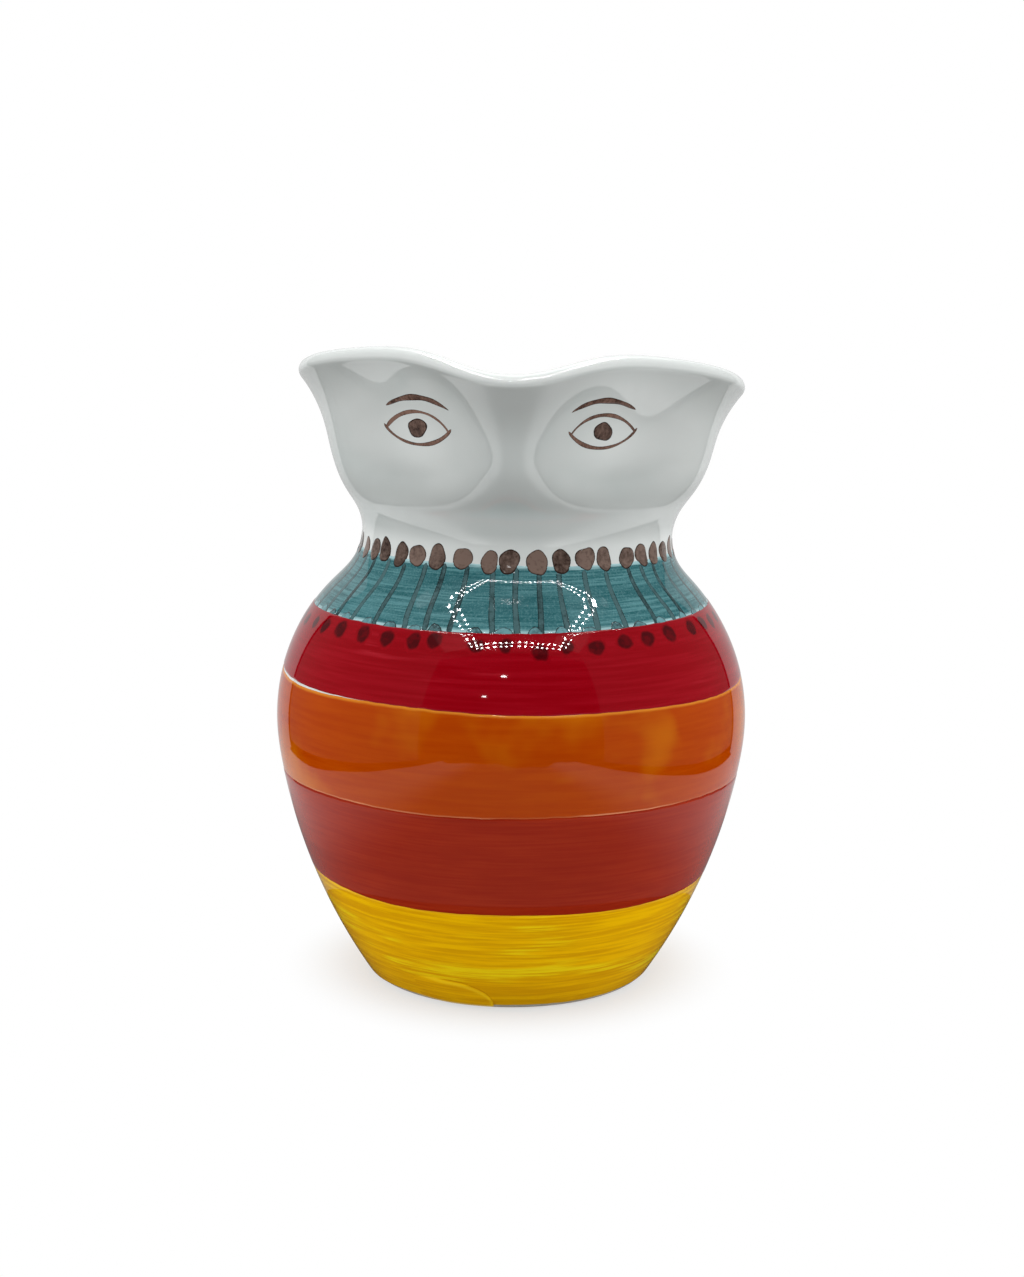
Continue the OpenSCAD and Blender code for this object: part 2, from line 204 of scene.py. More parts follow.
shoulder_c = np.array([BELLY_R - SHOULDER_R, BELLY_Z])
flank_top = shoulder_c + SHOULDER_R * unit(FLANK_RISE)
flank_chord = flank_top - np.array([FOOT_R, 0.0])
flank_r = flank_chord @ flank_chord / (2 * (unit(FLANK_RISE) @ flank_chord))
flank_c = flank_top - flank_r * unit(FLANK_RISE)
neck_out = NECK_D / 2 + NECK_R - shoulder_c[0]
neck_c = shoulder_c + np.array([neck_out, math.sqrt((SHOULDER_R + NECK_R) ** 2 - neck_out**2)])
neck_rise = math.atan2(neck_c[1] - shoulder_c[1], neck_out)
cheek_c = neck_c - (NECK_R + CHEEK_R) * unit(CHEEK_RISE)
flare_c = cheek_c + (CHEEK_R + FLARE_R) * unit(WAIST_RISE)
lip_c = flare_c - (FLARE_R + WALL / 2) * unit(RIM_RISE)
cheek_z = (cheek_c + CHEEK_R * unit(CHEEK_RISE))[1]
waist_z = (cheek_c + CHEEK_R * unit(WAIST_RISE))[1]
pinch_full_z = cheek_z + (waist_z - cheek_z) * PINCH_FULL_SHARE
rim_z = lip_c[1]


def edge_centre(radius, floor_z, grow):
    """Middle of the rounded edge between the flank, moved out by grow, and a floor."""
    z = floor_z + radius
    reach = flank_r + grow - radius
    return np.array([flank_c[0] + math.sqrt(reach**2 - (z - flank_c[1]) ** 2), z])


def wall_rows(grow, spacing):
    """The wall from the flank's foot to the rim, moved out by grow along its normals."""
    edge_r = FOOT_EDGE_R if grow == 0 else FLOOR_EDGE_R
    edge = edge_centre(edge_r, 0.0 if grow == 0 else FLOOR_T, grow)
    edge_rise = math.atan2(edge[1] - flank_c[1], edge[0] - flank_c[0])
    close = spacing * 0.7
    return np.vstack([
        arc(edge, edge_r, -math.pi / 2, edge_rise, spacing / 2),
        arc(flank_c, flank_r + grow, edge_rise, FLANK_RISE, spacing)[1:],
        arc(shoulder_c, SHOULDER_R + grow, FLANK_RISE, neck_rise, spacing)[1:],
        arc(neck_c, grow - NECK_R, neck_rise, CHEEK_RISE, close)[1:],
        arc(cheek_c, CHEEK_R + grow, CHEEK_RISE, WAIST_RISE, close)[1:],
        arc(flare_c, grow - FLARE_R, WAIST_RISE, RIM_RISE, close)[1:],
    ])


def formed(radius, z, turn):
    """The thrown wall after the mouth is formed by hand.

    Two bell-shaped pinches press the wall in beside the spout, a narrow bell draws the spout's
    ridge out, the rim rises over a flat-topped bell at the front, dips at the lip and leans to
    one side, and the whole head stands a little off the axis.
    """
    from_spout = wrapped(turn - SPOUT_TURN)
    pinched = bell(from_spout - PINCH_TURN, PINCH_SPREAD) + bell(from_spout + PINCH_TURN, PINCH_SPREAD)
    full = ramp(z, cheek_z, pinch_full_z)
    depth = PINCH_DEPTH * full - PINCH_EASE * ramp(z, waist_z, rim_z)
    drawn = SPOUT_DRAW * full * bell(from_spout, SPOUT_SPREAD)
    reach = radius - depth * pinched + drawn
    lift = RIM_LIFT * (plateau(from_spout) - plateau(math.pi / 2))
    dip = LIP_DIP * bell(from_spout, DIP_SPREAD)
    x = reach * np.sin(turn)
    grown = ramp(z, cheek_z, rim_z)
    return np.stack([
        x + SWAY * ramp(z, SWAY_LOW_Z, SWAY_TOP_Z),
        -reach * np.cos(turn),
        z + grown * (lift - dip - x * math.tan(RIM_TILT)),
    ], axis=-1)


def run_along(rows):
    """Length along the rows of an outline, from its first row."""
    return np.concatenate([[0.0], np.cumsum(np.hypot(*np.diff(rows, axis=0).T))])


def softened(rows):
    """The same outline with its changes of curve eased.

    Each place is the mean of SOFT_REACH to either side, and of less near the outline's two ends.
    """
    run = run_along(rows)
    share = np.minimum(1, np.minimum(run, run[-1] - run) / (4 * SOFT_REACH))
    near = run[:, None] + share[:, None] * np.linspace(-SOFT_REACH, SOFT_REACH, 15)
    return np.column_stack([np.interp(near, run, column).mean(axis=1) for column in rows.T])


OUTLINE_SPACING = 0.2
outline_r, outline_z = softened(wall_rows(0.0, OUTLINE_SPACING)).T
outline_run = run_along(np.column_stack([outline_r, outline_z]))


def run_at(z):
    """Run of the outer outline at a height."""
    return np.interp(z, outline_z, outline_run)


def radius_at(run):
    """Radius of the outer outline at a run."""
    return np.interp(run, outline_run, outline_r)


def jug_surface(turn, run):
    """Point of the outer surface at a turn and a run."""
    return formed(radius_at(run), np.interp(run, outline_run, outline_z), turn)


def slopes(turn, run):
    """How the outer surface's point moves with the turn and with the run, from central differences."""
    small_turn = 0.004
    small_run = 0.4
    by_turn = jug_surface(turn + small_turn, run) - jug_surface(turn - small_turn, run)
    by_run = jug_surface(turn, run + small_run) - jug_surface(turn, run - small_run)
    return by_turn / (2 * small_turn), by_run / (2 * small_run)


def raised(turn, run, height):
    """Point at a height above the outer surface, along its normal."""
    turn, run = np.broadcast_arrays(turn, run)
    normal = np.cross(*slopes(turn, run))
    normal /= np.linalg.norm(normal, axis=-1, keepdims=True)
    return jug_surface(turn, run) + np.asarray(height)[..., None] * normal


def seen_from_front(x, z):
    """Turn and run of the points that a drawing in the X-Z plane meets on the jug's front.

    Newton's method on (x, z). The first guess is a plain drum, and long steps are cut short.
    """
    guess_radius = 58.0
    guess_lift = 4.0
    rounds = 12
    most_turn = 0.2
    most_run = 6.0
    turn = x / guess_radius
    run = run_at(np.clip(z - guess_lift, SEAT_Z, rim_z))
    for _ in range(rounds):
        here = jug_surface(turn, run)
        by_turn, by_run = slopes(turn, run)
        miss_x = x - here[..., 0]
        miss_z = z - here[..., 2]
        area = by_turn[..., 0] * by_run[..., 2] - by_run[..., 0] * by_turn[..., 2]
        more_turn = (miss_x * by_run[..., 2] - by_run[..., 0] * miss_z) / area
        more_run = (by_turn[..., 0] * miss_z - miss_x * by_turn[..., 2]) / area
        turn = turn + np.clip(more_turn, -most_turn, most_turn)
        run = run + np.clip(more_run, -most_run, most_run)
    return turn, run


# Meshes from grids of points

def ring_quads(rows, cols, closed_rows):
    """Quads over a grid whose columns close round, and whose rows close too if asked."""
    i = np.arange(rows if closed_rows else rows - 1)[:, None]
    j = np.arange(cols)[None, :]
    below = i * cols
    above = (i + 1) % rows * cols
    beside = (j + 1) % cols
    return np.stack([below + j, below + beside, above + beside, above + j], axis=-1).reshape(-1, 4)


def pole_fans(rows, cols):
    """Triangles that close a ringed grid at its first and last row, on the two points after it."""
    j = np.arange(cols)
    beside = (j + 1) % cols
    last = (rows - 1) * cols
    first_pole = np.full(cols, rows * cols)
    first = np.stack([first_pole, beside, j], axis=-1)
    end = np.stack([first_pole + 1, last + j, last + beside], axis=-1)
    return np.vstack([first, end])


def ring_middles(grids):
    """Poles of ringed grids: the middles of each one's first and last ring."""
    return grids[:, [0, -1]].mean(axis=2)


def add_piece(name, points, faces, smooth, material, nodes, values):
    """Makes a mesh of points in millimetres, gives it its values per point, and puts it on the jug.

    smooth says which faces are shaded round.
    """
    mesh = bpy.data.meshes.new(name)
    mesh.from_pydata((points.reshape(-1, 3) * MM).tolist(), [], faces)
    mesh.polygons.foreach_set("use_smooth", smooth)
    for key, value in values.items():
        layer = mesh.attributes.new(key, "FLOAT", "POINT")
        layer.data.foreach_set("value", np.asarray(value, dtype=np.float32).ravel())
    mesh.materials.append(material)
    mesh.validate()
    mesh.update()
    piece = bpy.data.objects.new(name, mesh)
    bpy.context.scene.collection.objects.link(piece)
    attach(piece, "root")
    if nodes:
        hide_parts(*nodes)


def add_ringed(name, grids, poles, material, nodes, values, smooth=True, turned=False):
    """Ringed grids, copies x rows x cols x 3, each closed at two poles, as one piece.

    values gives, by name, what the grids' points and the poles hold. smooth says which faces of one
    grid, quads and then fans, are shaded round. turned faces are for rings that run the other way.
    """
    copies, rows, cols = grids.shape[:3]
    points = np.concatenate([grids.reshape(copies, -1, 3), poles], axis=1)
    shift = (np.arange(copies) * (rows * cols + 2))[:, None, None]
    quads = (ring_quads(rows, cols, False) + shift).reshape(-1, 4)
    fans = (pole_fans(rows, cols) + shift).reshape(-1, 3)
    order = -1 if turned else 1
    faces = quads[:, ::order].tolist() + fans[:, ::order].tolist()
    quad_smooth, fan_smooth = np.split(np.broadcast_to(smooth, (rows + 1) * cols), [(rows - 1) * cols])
    face_smooth = np.concatenate([np.tile(quad_smooth, copies), np.tile(fan_smooth, copies)])
    spread = {}
    for key, (on_grid, on_poles) in values.items():
        on_grid = np.broadcast_to(on_grid, grids.shape[:3]).reshape(copies, -1)
        spread[key] = np.concatenate([on_grid, np.broadcast_to(on_poles, (copies, 2))], axis=1)
    add_piece(name, points, faces, face_smooth, material, nodes, spread)


# Shader building

def tone(red, green, blue):
    """Linear colour of a tone given as display values from 0 to 255."""
    share = np.array([red, green, blue]) / 255
    linear = np.where(share <= 0.04045, share / 12.92, ((share + 0.055) / 1.055) ** 2.4)
    return (*linear.tolist(), 1.0)


trees = []


def start_tree(tree):
    """Empties a node tree; from here on nodes are placed in it."""
    tree.nodes.clear()
    trees.append(tree)


def place(kind, inputs=None, **settings):
    """Adds a node, sets its settings, links or sets its inputs by name or number; gives its outputs."""
    made = trees[-1].nodes.new(kind)
    for key, value in settings.items():
        setattr(made, key, value)
    for key, value in (inputs or {}).items():
        if isinstance(value, bpy.types.NodeSocket):
            trees[-1].links.new(value, made.inputs[key])
        else:
            made.inputs[key].default_value = value
    return made.outputs


def mix(share, first, second):
    """Colour between first and second."""
    return place("ShaderNodeMix", {0: share, 6: first, 7: second}, data_type="RGBA")[2]


def calc(operation, first, second=0.0):
    """Result of one sum on two values."""
    return place("ShaderNodeMath", {0: first, 1: second}, operation=operation)[0]


def vector_calc(operation, first, second):
    """Result of one sum on two vectors."""
    return place("ShaderNodeVectorMath", {0: first, 1: second}, operation=operation)[0]


def step(value, low, high, start=0.0, end=1.0):
    """Smooth change from start to end as value goes from low to high."""
    inputs = {"Value": value, "From Min": low, "From Max": high, "To Min": start, "To Max": end}
    return place("ShaderNodeMapRange", inputs, interpolation_type="SMOOTHSTEP")[0]


def noise(vector, scale, detail=2.0, rough=0.5):
    """Noise value over a vector."""
    inputs = {"Vector": vector, "Scale": scale, "Detail": detail, "Roughness": rough}
    return place("ShaderNodeTexNoise", inputs)["Fac"]


def object_place():
    """Place on the piece, in metres."""
    return place("ShaderNodeTexCoord")["Object"]


def object_part(axis):
    """Place on the piece along one axis, in metres."""
    return place("ShaderNodeSeparateXYZ", {0: object_place()})[axis]


def painted_value(name):
    """A value that the piece's own mesh holds per point."""
    return place("ShaderNodeAttribute", attribute_name=name)["Fac"]


def new_group(name, inputs, outputs):
    """A shader node group with named float inputs and outputs."""
    group = bpy.data.node_groups.new(name, "ShaderNodeTree")
    start_tree(group)
    kind = "NodeSocketFloat"
    for key, value in inputs.items():
        group.interface.new_socket(key, in_out="INPUT", socket_type=kind).default_value = value
    for key in outputs:
        group.interface.new_socket(key, in_out="OUTPUT", socket_type=kind)
    return group, group.nodes.new("NodeGroupInput").outputs, group.nodes.new("NodeGroupOutput").inputs


def use_group(group, **values):
    """Places a node group with its own values, and gives its outputs."""
    inputs = {key.capitalize(): value for key, value in values.items()}
    return place("ShaderNodeGroup", inputs, node_tree=group)


def glaze_skin_group():
    """Glaze surface: a slow swell and a fine peel for the bump, slow clouds, and rare dark specks."""
    group, given, out = new_group("Glaze skin", {"Seed": 0.0}, ["Height", "Clouds", "Specks"])
    shifted = vector_calc("ADD", object_place(), given["Seed"])
    swell = noise(shifted, 42.0, 1.0)
    peel = noise(shifted, 420.0, 1.0)
    height = calc("ADD", swell, calc("MULTIPLY", peel, 0.012))
    cells = place("ShaderNodeTexVoronoi", {"Vector": shifted, "Scale": 75.0})
    chance = place("ShaderNodeSeparateColor", {"Color": cells["Color"]})[0]
    near = step(cells["Distance"], 0.012, 0.03, 1.0, 0.0)
    group.links.new(height, out["Height"])
    group.links.new(noise(shifted, 26.0, 3.0), out["Clouds"])
    group.links.new(calc("MULTIPLY", near, step(chance, 0.80, 0.82)), out["Specks"])
    return group


def brush_hairs_group():
    """Marks of a wide brush drawn round the jug: fine level hairs, and broader thick and thin patches.

    Both are noise stretched along the stroke: Spread waves a metre along it, Fineness across it.
    """
    inputs = {"Spread": 60.0, "Fineness": 1500.0, "Seed": 0.0}
    group, given, out = new_group("Brush hairs", inputs, ["Hairs", "Patches"])
    here = object_place()
    for mark, share_along, share_across in (("Hairs", 1.0, 1.0), ("Patches", 0.55, 0.1)):
        along = calc("MULTIPLY", given["Spread"], share_along)
        across = calc("MULTIPLY", given["Fineness"], share_across)
        scale = place("ShaderNodeCombineXYZ", {0: along, 1: along, 2: across})[0]
        stretched = vector_calc("ADD", vector_calc("MULTIPLY", here, scale), given["Seed"])
        group.links.new(noise(stretched, 1.0, 3.0, 0.6), out[mark])
    return group


def wash_group():
    """Watery colour of one brush mark: a dark line where it dried at the edge, grains, and a pool."""
    group, given, out = new_group("Wash", {"Rim": 0.8, "Grain": 900.0}, ["Depth"])
    here = object_place()
    grains = noise(here, given["Grain"], 2.0, 0.6)
    pools = noise(here, 210.0, 1.0)
    edge = step(painted_value("edge"), given["Rim"], 0.97)
    seed = painted_value("seed")
    body = calc("ADD", calc("MULTIPLY", grains, 1.1), calc("MULTIPLY", pools, 0.75))
    body = calc("ADD", body, calc("MULTIPLY", seed, 0.5))
    body = place("ShaderNodeMath", {0: body, 1: 1.5, 2: -1.1}, operation="MULTIPLY_ADD")[0]
    depth = place("ShaderNodeMath", {0: body, 1: edge}, operation="ADD", use_clamp=True)[0]
    group.links.new(depth, out["Depth"])
    return group


glaze_skin = glaze_skin_group()
brush_hairs = brush_hairs_group()
wash = wash_group()


def new_material(name):
    """A material whose nodes are yet to be placed."""
    material = bpy.data.materials.new(name)
    material.use_nodes = True
    start_tree(material.node_tree)
    return material


# Glaze and paint; marks take the seed of what they are painted on, and so share its glaze skin

GLAZE_SWELL = 0.00013
LEAST_ROUGH = 0.03
WHITE_ROUGH = 0.05
PAINT_ROUGH = 0.045
CLAY_ROUGH = 0.7
WHITE_BEND = 2.0
PAINT_BEND = 1.4
WHITE_SEED = 0.0
CRIMSON_SEED = 5.1
TEAL_SEED = 2.4
GLAZE_WHITE = tone(196, 200, 198)
GLAZE_SHADE = tone(188, 194, 192)
# Painted highlight along the lip's top
GLAZE_LIP_HIGHLIGHT = tone(222, 226, 224)
# Painted light on walls that face up and in hollows, and painted shade on walls that face down and on
# the ridge
GLAZE_PAINTED_LIGHT = tone(216, 220, 218)
GLAZE_PAINTED_SHADE = tone(168, 172, 170)
GLAZE_SPECK = tone(120, 104, 92)
PAINT_SPECK = tone(60, 40, 30)
CLAY_PALE = tone(214, 178, 138)
CLAY_DARK = tone(186, 146, 108)


def skin_rough(skin, most):
    """Roughness of the glaze, which goes up to most with its clouds."""
    return step(skin["Clouds"], 0.3, 0.7, LEAST_ROUGH, most)


def gloss(colour, roughness, height, bend):
    """Glossy fired glaze over a colour, with a bump from height."""
    bump = place("ShaderNodeBump", {"Height": height, "Distance": GLAZE_SWELL, "Strength": 1.0})[0]
    inputs = {"Base Color": colour, "Roughness": roughness, "IOR": bend, "Normal": bump}
    shader = place("ShaderNodeBsdfPrincipled", inputs)[0]
    place("ShaderNodeOutputMaterial", {"Surface": shader})


def white_glaze_material():
    """White tin glaze with slow clouds and rare specks, over clay that is bare under the foot.

    The lip is painted whiter, a painted highlight along the rim's top. By the wall's slope it is
    painted lighter where it faces up and in hollows, and greyer, a painted shade, where it faces
    down and on the spout's ridge.
    """
    material = new_material("white_glaze")
    skin = use_group(glaze_skin, seed=WHITE_SEED)
    colour = mix(step(skin["Clouds"], 0.35, 0.7), GLAZE_WHITE, GLAZE_SHADE)
    # Painted light and shade by the wall's slope: lighter facing up and in hollows, greyer facing down
    # and on the ridge
    slope_shade = painted_value("slope_shade")
    colour = mix(step(slope_shade, 0.0, 1.0), colour, GLAZE_PAINTED_LIGHT)
    colour = mix(step(slope_shade, -1.0, 0.0, 1.0, 0.0), colour, GLAZE_PAINTED_SHADE)
    # Painted highlight: the glaze along the rim's top is painted whiter
    colour = mix(painted_value("lip"), colour, GLAZE_LIP_HIGHLIGHT)
    colour = mix(calc("MULTIPLY", skin["Specks"], 0.5), colour, GLAZE_SPECK)
    bare = step(object_part("Z"), 0.0004, 0.0008, 1.0, 0.0)
    clay = mix(noise(object_place(), 700.0, 3.0), CLAY_PALE, CLAY_DARK)
    colour = mix(bare, colour, clay)
    rough = skin_rough(skin, WHITE_ROUGH)
    rough = calc("ADD", rough, calc("MULTIPLY", bare, CLAY_ROUGH))
    gloss(colour, rough, skin["Height"], WHITE_BEND)
    return material


def coat_material(name, spread, fineness, seed, colours):
    """Paint of a band under its glaze: colours lays its tones by the brush's hairs and patches.

    The glaze has dark specks and a trace of the hairs in it.
    """
    material = new_material(name)
    brush = use_group(brush_hairs, spread=spread, fineness=fineness, seed=seed)
    colour = colours(brush["Hairs"], brush["Patches"])
    skin = use_group(glaze_skin, seed=seed)
    colour = mix(calc("MULTIPLY", skin["Specks"], 0.4), colour, PAINT_SPECK)
    height = calc("ADD", skin["Height"], calc("MULTIPLY", brush["Hairs"], 0.003))
    gloss(colour, skin_rough(skin, PAINT_ROUGH), height, PAINT_BEND)
    return material


def yellow_colours(hairs, patches):
    """Yellow laid on thick: ochre hairs, lemon where it is thin, and pale where it ends at the foot."""
    colour = mix(step(hairs, 0.36, 0.66), tone(213, 156, 0), tone(235, 184, 0))
    lemon = calc("MULTIPLY", step(patches, 0.48, 0.64), step(hairs, 0.4, 0.6, 0.0, 0.85))
    colour = mix(lemon, colour, tone(236, 214, 20))
    bare = step(painted_value("from_low"), 0.1, 0.9, 0.75, 0.0)
    return mix(bare, colour, tone(226, 212, 140))


def yellow_colours_with_painted_edge_light(hairs, patches):
    """The same yellow with a painted highlight along the stroke's raised edge, and painted shade in a
    dark line at the very edge.
    """
    colour = yellow_colours(hairs, patches)
    edge = painted_value("edge")
    # Painted highlight along the stroke's raised edge, and painted shade in a dark line at the very edge
    painted_crest_highlight = calc("MULTIPLY", step(edge, 0.3, 0.9, 0.0, 0.6), step(edge, 1.2, 2.6, 1.0, 0.0))
    colour = mix(painted_crest_highlight, colour, tone(246, 208, 30))
    return mix(step(edge, 0.05, 0.5, 0.7, 0.0), colour, tone(178, 122, 0))


def brick_red_colours(hairs, patches):
    """Brick red, nearly even, with faint level hairs."""
    colour = mix(step(hairs, 0.3, 0.7), tone(143, 32, 11), tone(154, 42, 16))
    return mix(step(patches, 0.4, 0.75, 0.0, 0.5), colour, tone(134, 27, 9))


def orange_colours(hairs, patches):
    """Orange, see-through where thin: amber patches, a paler strip above, and broken paint below."""
    colour = mix(step(hairs, 0.28, 0.72), tone(163, 57, 0), tone(171, 66, 1))
    clouds = use_group(glaze_skin, seed=3.1)["Clouds"]
    amber = step(patches, 0.57, 0.76, 0.0, 0.5)
    thin = calc("MAXIMUM", amber, step(clouds, 0.52, 0.7, 0.0, 0.6))
    colour = mix(thin, colour, tone(194, 110, 8))
    strip = step(painted_value("from_top"), 0.3, 1.2, 0.55, 0.0)
    colour = mix(strip, colour, tone(228, 152, 48))
    dry = step(painted_value("from_low"), 0.25, 0.8, 1.0, 0.0)
    broken = calc("MULTIPLY", dry, step(patches, 0.36, 0.56, 0.15, 0.8))
    return mix(broken, colour, tone(226, 150, 108))


def crimson_colours(hairs, patches):
    """Deep crimson with faint rosy streaks where the brush left it thin."""
    colour = mix(step(hairs, 0.35, 0.7), tone(136, 0, 13), tone(147, 8, 23))
    rosy = calc("MULTIPLY", step(patches, 0.55, 0.75), step(hairs, 0.4, 0.62, 0.0, 0.5))
    return mix(rosy, colour, tone(182, 44, 58))


def teal_colours(hairs, patches):
    """Streaky teal wash: dark patches, pale hairs, and ragged thin edges where the white shows."""
    colour = mix(step(hairs, 0.34, 0.66), tone(39, 92, 97), tone(84, 134, 139))
    colour = mix(step(patches, 0.44, 0.66, 0.0, 0.75), colour, tone(35, 89, 95))
    grains = noise(object_place(), 1700.0, 2.0, 0.7)
    colour = mix(step(grains, 0.45, 0.7, 0.0, 0.35), colour, tone(112, 158, 162))
    edge = calc("MINIMUM", painted_value("from_low"), painted_value("from_top"))
    ragged = calc("SUBTRACT", edge, calc("MULTIPLY", hairs, 2.2))
    return mix(step(ragged, -0.9, 0.5, 0.8, 0.0), colour, tone(176, 212, 216))


def wash_material(name, dark, light, rim, grain, seed):
    """Watery brush mark between a light and a dark tone."""
    material = new_material(name)
    colour = mix(use_group(wash, rim=rim, grain=grain)["Depth"], light, dark)
    skin = use_group(glaze_skin, seed=seed)
    gloss(colour, skin_rough(skin, WHITE_ROUGH), skin["Height"], PAINT_BEND)
    return material


def maroon_material():
    """Dark dab seen through the crimson: maroon at its middle, lost in the red at its edge."""
    material = new_material("maroon_paint")
    soft = step(painted_value("edge"), 0.44, 0.72)
    grains = noise(object_place(), 500.0, 2.0)
    soft = calc("ADD", soft, step(grains, 0.3, 0.7, -0.12, 0.2))
    colour = mix(soft, tone(72, 4, 10), tone(141, 3, 17))
    skin = use_group(glaze_skin, seed=CRIMSON_SEED)
    gloss(colour, skin_rough(skin, PAINT_ROUGH), skin["Height"], PAINT_BEND)
    return material


# Clay

# Heights, from the rim, where the painted highlight along the lip starts and is full
LIP_HIGHLIGHT_LOW = -1.8
LIP_HIGHLIGHT_FULL = 2.3
# Heights where the painted shade from the slope starts and is full, the slope that gets neither painted
# light nor shade, and the size and reach of a ridge
PAINTED_SHADE_LOW = 148.5
PAINTED_SHADE_FULL = 156.5
UNSHADED_SLOPE = -0.33
RIDGE_HEIGHT = 12.0
RIDGE_REACH = 18 * DEGREE
OUTSIDE_SPACING = 1.25
INSIDE_SPACING = 2.6
LIP_SPACING = 0.5


def painted_slope_shade(section, points):
    """Painted light and shade by the wall's slope, from -1, painted shade under an overhang or on a
    ridge, to 1, painted light where the wall faces up or lies in a hollow.

    The slope is the upward share of the thrown section's normal. A ridge is where the radius is above
    its mean a little way round to both sides, and a hollow where it is below. No painted shade is put
    low on the neck.
    """
    way = np.gradient(section, axis=0)
    slope = -way[:, :1] / np.maximum(np.linalg.norm(way, axis=1, keepdims=True), 1e-9)
    radius = np.hypot(points[..., 0], points[..., 1])
    reach = round(RIDGE_REACH / (2 * math.pi) * COLUMNS)
    ridge = radius - (np.roll(radius, reach, axis=1) + np.roll(radius, -reach, axis=1)) / 2
    slope_shade = np.clip((slope - UNSHADED_SLOPE) / -UNSHADED_SLOPE - ridge / RIDGE_HEIGHT, -1, 1)
    return np.where(slope_shade < 0, slope_shade * ramp(section[:, 1:], PAINTED_SHADE_LOW, PAINTED_SHADE_FULL), slope_shade)


def add_clay(material):
    """Belly and head as one glazed shell: a section of foot, wall, lip and inside, turned and formed."""
    outside = softened(wall_rows(0.0, OUTSIDE_SPACING))
    inside = wall_rows(-WALL, INSIDE_SPACING)[::-1]
    edge_r = edge_centre(FOOT_EDGE_R, 0.0, 0.0)[0]
    recess_r = edge_r - FOOT_RING_W
    under = np.array([
        [recess_r * 0.1, FOOT_RECESS],
        [recess_r * 0.6, FOOT_RECESS],
        [recess_r - FOOT_BEVEL, FOOT_RECESS],
        [recess_r, FOOT_RECESS - FOOT_BEVEL],
        [recess_r, FOOT_BEVEL],
        [recess_r + FOOT_BEVEL, 0.0],
        [(recess_r + edge_r) / 2, 0.0],
    ])
    lip = arc(lip_c, WALL / 2, RIM_RISE, RIM_RISE + math.pi, LIP_SPACING)[1:-1]
    floor = np.outer([0.8, 0.5, 0.2, 0.05], [inside[-1, 0], 0.0]) + [0.0, FLOOR_T]
    section = np.vstack([under, outside, lip, inside, floor])
    points = formed(section[:, :1], section[:, 1:], around(COLUMNS))
    glazed = np.zeros((len(section), 1))
    lip_row = len(under) + len(outside)
    glazed[len(under):lip_row] = 1
    glazed[lip_row:lip_row + len(lip), 0] = np.linspace(1, 0, len(lip))
    # A painted highlight along the rim's top, and painted light and shade that follow the wall's slope
    lip_highlight = ramp(section[:, 1:] - rim_z, LIP_HIGHLIGHT_LOW, LIP_HIGHLIGHT_FULL)
    values = {"lip": (lip_highlight, 0.0), "slope_shade": (glazed * painted_slope_shade(section, points), 0.0)}
    poles = np.array([[[0.0, 0.0, FOOT_RECESS], [0.0, 0.0, FLOOR_T]]])
    add_ringed("glazed_clay", points[None], poles, material, ["belly", "head"], values)


def wall_behind(x, z):
    """How far back the jug's outer wall is, behind a place x, z."""
    radius = np.interp(z, outline_z, outline_r)
    return np.sqrt(np.maximum(radius**2 - x**2, 1.0))


def add_handle(material):
    """Pulled strap: a grooved oval carried along a cubic curve, its ends spread onto the wall."""
    rows = 140
    cols = 56
    t = np.linspace(0, 1, rows)[:, None]
    angle = around(cols)

    def both_ends(spread):
        return bell(t, spread) + bell(1 - t, spread)

    top_z = rim_z - HANDLE_TOP_DROP
    foot_z = UPPER_RED_TOP - HANDLE_FOOT_DROP
    start = np.array([wall_behind(0.0, top_z) - HANDLE_SINK, top_z])
    end = np.array([wall_behind(0.0, foot_z) - HANDLE_SINK, foot_z])
    pulls = np.array([start, start + HANDLE_PULL_TOP, end + HANDLE_PULL_FOOT, end])
    weights = np.hstack([(1 - t) ** 3, 3 * (1 - t) ** 2 * t, 3 * (1 - t) * t**2, t**3])
    middle = weights @ pulls
    way = np.gradient(middle, axis=0)
    way /= np.linalg.norm(way, axis=1, keepdims=True)
    swell = 1 + 0.3 * both_ends(0.1) + 0.35 * both_ends(0.025)
    groove = GROOVE_DEPTH * np.maximum(0, np.sin(angle)) * bell(np.cos(angle), 0.35)
    x = HANDLE_W / 2 * swell * np.cos(angle) + waver(t * math.pi, 1, 4, 0.25, 17)
    off = HANDLE_T / 2 * swell * np.sin(angle) - groove * (1 - 0.6 * both_ends(0.08))
    y = middle[:, :1] - off * way[:, 1:]
    z = middle[:, 1:] + off * way[:, :1]
    seated = 1 - ramp(np.minimum(t, 1 - t), 0.0, 0.07)
    y = y + seated * (wall_behind(x, z) - HANDLE_SEAT - y)
    grid = np.stack([x + SWAY * (1 - ramp(t, 0.0, 1.0)), y, z], axis=-1)[None]
    add_ringed("glazed_handle", grid, ring_middles(grid), material, ["handle"], {},
               turned=True)


# Painted bands

def coat_height(from_edge, thick):
    """Height of a coat over the glaze, feathered to nothing at its edge."""
    return thick * domed(from_edge / COAT_FEATHER) - COAT_DROP


def add_coat(name, low_z, top_z, thick, material, node):
    """A painted band: a thin skin between two wavering edges, feathered to nothing at both.

    Its section is a loop, up the outer face and down inside the glaze, carried round the jug.
    low_z and top_z are heights per column.
    """
    rows = 44
    under_rows = 10
    low = run_at(low_z)
    top = run_at(top_z)
    up = 0.5 - 0.5 * np.cos(np.linspace(0, math.pi, rows))
    down = np.linspace(1, 0, under_rows + 2)[1:-1]
    run = low + (top - low) * np.append(up, down)[:, None]
    height = coat_height(np.minimum(run - low, top - run), thick)
    height[rows:] = -COAT_SINK
    points = raised(around(COLUMNS), run, height)
    faces = ring_quads(len(run), COLUMNS, True).tolist()
    smooth = np.repeat(np.arange(len(run)) < rows - 1, COLUMNS)
    values = {"from_low": run - low, "from_top": top - run}
    add_piece(name, points, faces, smooth, material, [node], values)


